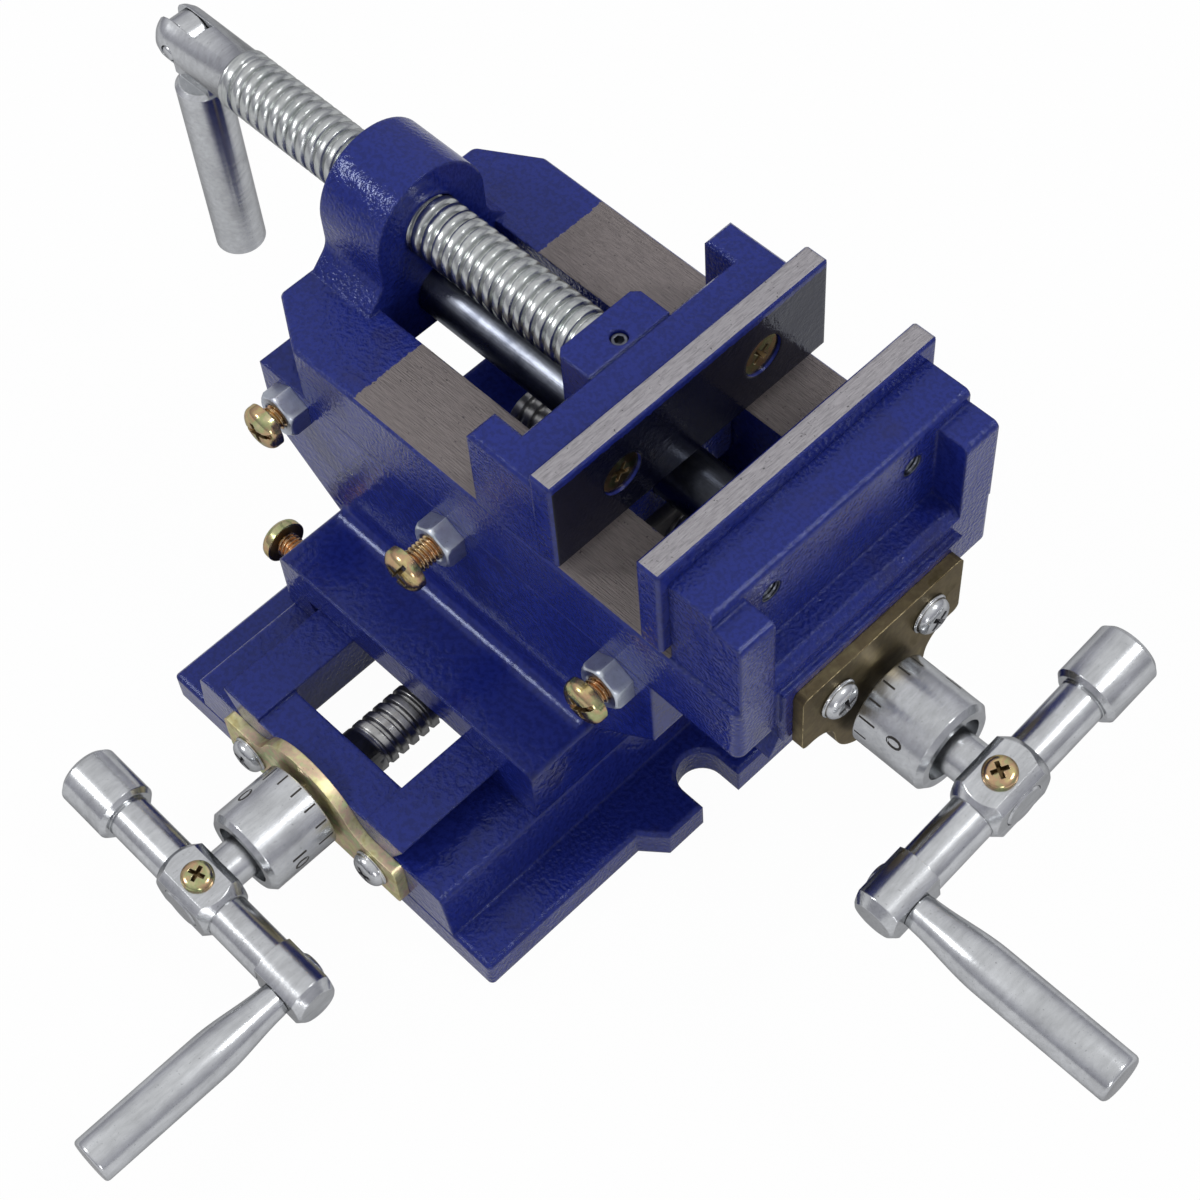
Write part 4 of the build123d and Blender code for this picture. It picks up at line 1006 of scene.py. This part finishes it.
class VISE_OT_grips(bpy.types.Operator):
    """Turn the two crank grips with their rivet heads"""

    bl_idname = "vise.grips"
    bl_label = "Crank grips"

    def execute(self, context):
        for node, body, line, side in (("x_crank_handle", "x_grip", x_hub(), -1),
                                       ("y_crank_handle", "y_grip", y_hub(), 1)):
            points = list(RIVET_END)
            for step in range(1, 15):
                share = step / 14
                ease = share * share * (3 - 2 * share)
                points.append((SWELL_X + SWELL_LENGTH * share, NECK_R + (GRIP_R - NECK_R) * ease))
            points += GRIP_END
            mesh = lathe(points, 44, line @ Matrix.Translation(mm(0, side * BOSS_OFFSET, 0)))
            piece = finish_mesh(mesh, node + "_turned", "zinc", body, 40)
            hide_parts(node)
        return {"FINISHED"}


class VISE_OT_dial_marks(bpy.types.Operator):
    """Lay the inked divisions and numbers on both dials"""

    bl_idname = "vise.dial_marks"
    bl_label = "Dial marks"

    def execute(self, context):
        count = context.scene.vise_detail.dial_marks
        for side, line in (("x", x_line()), ("y", y_line())):
            mesh = bmesh.new()
            back = DIAL_GAPS[side] + MARK_START
            for mark in range(count):
                numbered = mark % MARKS_PER_NUMBER == 0
                angle = DIAL_ZEROS[side] + mark * 360.0 / count
                dial_strip(mesh, line, back, back + (LONG_MARK_LENGTH if numbered else MARK_LENGTH), angle)
                if numbered:
                    dial_number(mesh, line, str(mark * COUNT_PER_MARK), back + NUMBER_START, angle)
            finish_mesh(mesh, side + "_dial_marks", "ink", side + "_screw", 60)
        return {"FINISHED"}


def on_dial(line, x, arc, height):
    """A point over a dial: x along it, arc in degrees from the top toward the right seen from the crank."""
    radius = DIAL_R + height
    turn = radians(arc)
    return line @ mm(x, radius * sin(turn), radius * cos(turn))


def dial_strip(mesh, line, start, end, angle):
    """A thin line along the dial."""
    half = degrees(MARK_HALF / DIAL_R)
    for vert in boxed(mesh, (start, angle - half, INK_FLOOR), (end, angle + half, INK_TOP)):
        vert.co = on_dial(line, *(vert.co / MM))


def dial_number(mesh, line, text, start, angle):
    """A number wrapped on the dial, its top toward the plate."""
    curve = bpy.data.curves.new("dial number", "FONT")
    curve.body = text
    curve.size = NUMBER_SIZE * MM
    curve.offset = 0.03 * MM
    curve.extrude = 0.12 * MM
    curve.resolution_u = 3
    curve.align_x = "CENTER"
    curve.align_y = "TOP"
    holder = bpy.data.objects.new("dial number", curve)
    bpy.context.scene.collection.objects.link(holder)
    bpy.context.view_layer.update()
    flat = bpy.data.meshes.new_from_object(holder.evaluated_get(bpy.context.evaluated_depsgraph_get()))
    bpy.data.objects.remove(holder)
    bpy.data.curves.remove(curve)
    work = bmesh.new()
    work.from_mesh(flat)
    bpy.data.meshes.remove(flat)
    bmesh.ops.remove_doubles(work, verts=work.verts, dist=1e-6)
    for vert in work.verts:
        x = start - vert.co.y / MM
        arc = angle + degrees(vert.co.x / MM / DIAL_R)
        vert.co = on_dial(line, x, arc, vert.co.z / MM - NUMBER_SINK)
    add_mesh(mesh, work)


class VISE_OT_stage(bpy.types.Operator):
    """Set the pale floor, the studio lights and the camera"""

    bl_idname = "vise.stage"
    bl_label = "Stage"

    def execute(self, context):
        scene = context.scene
        scene.view_settings.view_transform = "Standard"
        floor_data = bpy.data.meshes.new("floor")
        corners = [(x * FLOOR_HALF, y * FLOOR_HALF, 0) for x, y in ((-1, -1), (1, -1), (1, 1), (-1, 1))]
        floor_data.from_pydata(corners, [], [(0, 1, 2, 3)])
        floor = bpy.data.objects.new("floor", floor_data)
        floor.location.z = -FLOOR_DROP
        scene.collection.objects.link(floor)
        floor_data.materials.append(floor_material())
        world = bpy.data.worlds.new("studio")
        scene.world = world
        world.use_nodes = True
        world_nodes(world.node_tree)
        for values in LAMPS:
            lamp(scene, *values)
        camera_data = bpy.data.cameras.new("camera")
        camera = bpy.data.objects.new("camera", camera_data)
        scene.collection.objects.link(camera)
        camera_data.sensor_width = SENSOR_WIDTH
        camera_data.lens = FOCAL_PIXELS / PHOTO_PIXELS * SENSOR_WIDTH
        camera_data.clip_start = 0.01
        camera_data.clip_end = 50.0
        azimuth, elevation, roll = map(radians, (CAMERA_AZIMUTH, CAMERA_ELEVATION, CAMERA_ROLL))
        back = Vector((cos(elevation) * cos(azimuth), cos(elevation) * sin(azimuth), sin(elevation)))
        right = Vector((-sin(azimuth), cos(azimuth), 0.0))
        up = back.cross(right)
        level_x = right * cos(roll) + up * sin(roll)
        level_y = up * cos(roll) - right * sin(roll)
        turn = Matrix((level_x, level_y, back)).transposed()
        camera.matrix_world = Matrix.Translation(CAMERA_PLACE) @ turn.to_4x4()
        scene.camera = camera
        return {"FINISHED"}


def lamp(scene, name, place, target, side, power):
    """A soft square lamp aimed at a point."""
    data = bpy.data.lights.new(name, "AREA")
    data.shape = "SQUARE"
    data.size = side
    data.energy = power
    holder = bpy.data.objects.new(name, data)
    holder.location = place
    holder.rotation_mode = "QUATERNION"
    holder.rotation_quaternion = (Vector(target) - Vector(place)).to_track_quat("-Z", "Y")
    scene.collection.objects.link(holder)


def floor_material():
    """Pale floor that stays white to the camera and keeps a soft shadow."""
    material, tree, shader = new_material("pale floor")
    shader.inputs["Base Color"].default_value = (0.66, 0.66, 0.67, 1.0)
    shader.inputs["Roughness"].default_value = 0.8
    shader.inputs["Specular IOR Level"].default_value = 0.1
    glow = put(tree, "ShaderNodeEmission", {"Color": (1.0, 1.0, 1.0, 1.0), "Strength": 1.0})
    path = put(tree, "ShaderNodeLightPath")
    seen = math_node(tree, "MAXIMUM", path.outputs["Is Camera Ray"], path.outputs["Is Transmission Ray"])
    mirrored = math_node(tree, "MULTIPLY", path.outputs["Is Glossy Ray"], 0.30)
    share = math_node(tree, "MAXIMUM", math_node(tree, "MULTIPLY", seen, 0.975), mirrored)
    mix = put(tree, "ShaderNodeMixShader", {0: share, 1: shader.outputs[0], 2: glow.outputs[0]})
    tree.links.new(mix.outputs[0], tree.nodes["Material Output"].inputs["Surface"])
    return material


def world_nodes(tree):
    """Pale surroundings: white to the camera, a soft light and dark gradient to the metal."""
    background = tree.nodes["Background"]
    path = put(tree, "ShaderNodeLightPath")
    place = put(tree, "ShaderNodeTexCoord")
    split = put(tree, "ShaderNodeSeparateXYZ", {0: place.outputs["Generated"]})
    sky = ramp(tree, math_node(tree, "MULTIPLY_ADD", split.outputs[2], 0.5, 0.5), [
        (0.50, (0.30, 0.30, 0.34)), (0.66, (0.50, 0.50, 0.54)), (0.84, (0.74, 0.74, 0.76)),
        (1.0, (0.84, 0.84, 0.85))])
    seen = math_node(tree, "MAXIMUM", path.outputs["Is Camera Ray"], path.outputs["Is Transmission Ray"])
    tree.links.new(blend_colour(tree, seen, sky, (1.0, 1.0, 1.0)), background.inputs["Color"])


class VISE_PT_panel(bpy.types.Panel):
    """Settings and steps of the vise"""

    bl_idname = "VISE_PT_panel"
    bl_label = "Cross Slide Vise"
    bl_space_type = "VIEW_3D"
    bl_region_type = "UI"
    bl_category = "Vise"

    def draw(self, context):
        for values in (context.scene.vise_finish, context.scene.vise_detail):
            for name in values.__annotations__:
                self.layout.prop(values, name)
        for step in STEPS:
            self.layout.operator(step.bl_idname)


STEPS = (VISE_OT_finishes, VISE_OT_slide_screws, VISE_OT_clamp_screw, VISE_OT_gib_screws, VISE_OT_lock_nuts,
         VISE_OT_plate_screws, VISE_OT_jaw_screws, VISE_OT_grips, VISE_OT_dial_marks, VISE_OT_stage)
CLASSES = (ViseFinish, ViseDetail, *STEPS, VISE_PT_panel)


def register():
    """Register the settings, steps and panel."""
    for each in CLASSES:
        bpy.utils.register_class(each)
    bpy.types.Scene.vise_finish = bpy.props.PointerProperty(type=ViseFinish)
    bpy.types.Scene.vise_detail = bpy.props.PointerProperty(type=ViseDetail)


def unregister():
    """Remove the settings, steps and panel."""
    del bpy.types.Scene.vise_detail
    del bpy.types.Scene.vise_finish
    for each in reversed(CLASSES):
        bpy.utils.unregister_class(each)


def main():
    """Build every piece in order."""
    register()
    for step in STEPS:
        group, name = step.bl_idname.split(".")
        getattr(getattr(bpy.ops, group), name)()


if __name__ == "__main__":
    main()
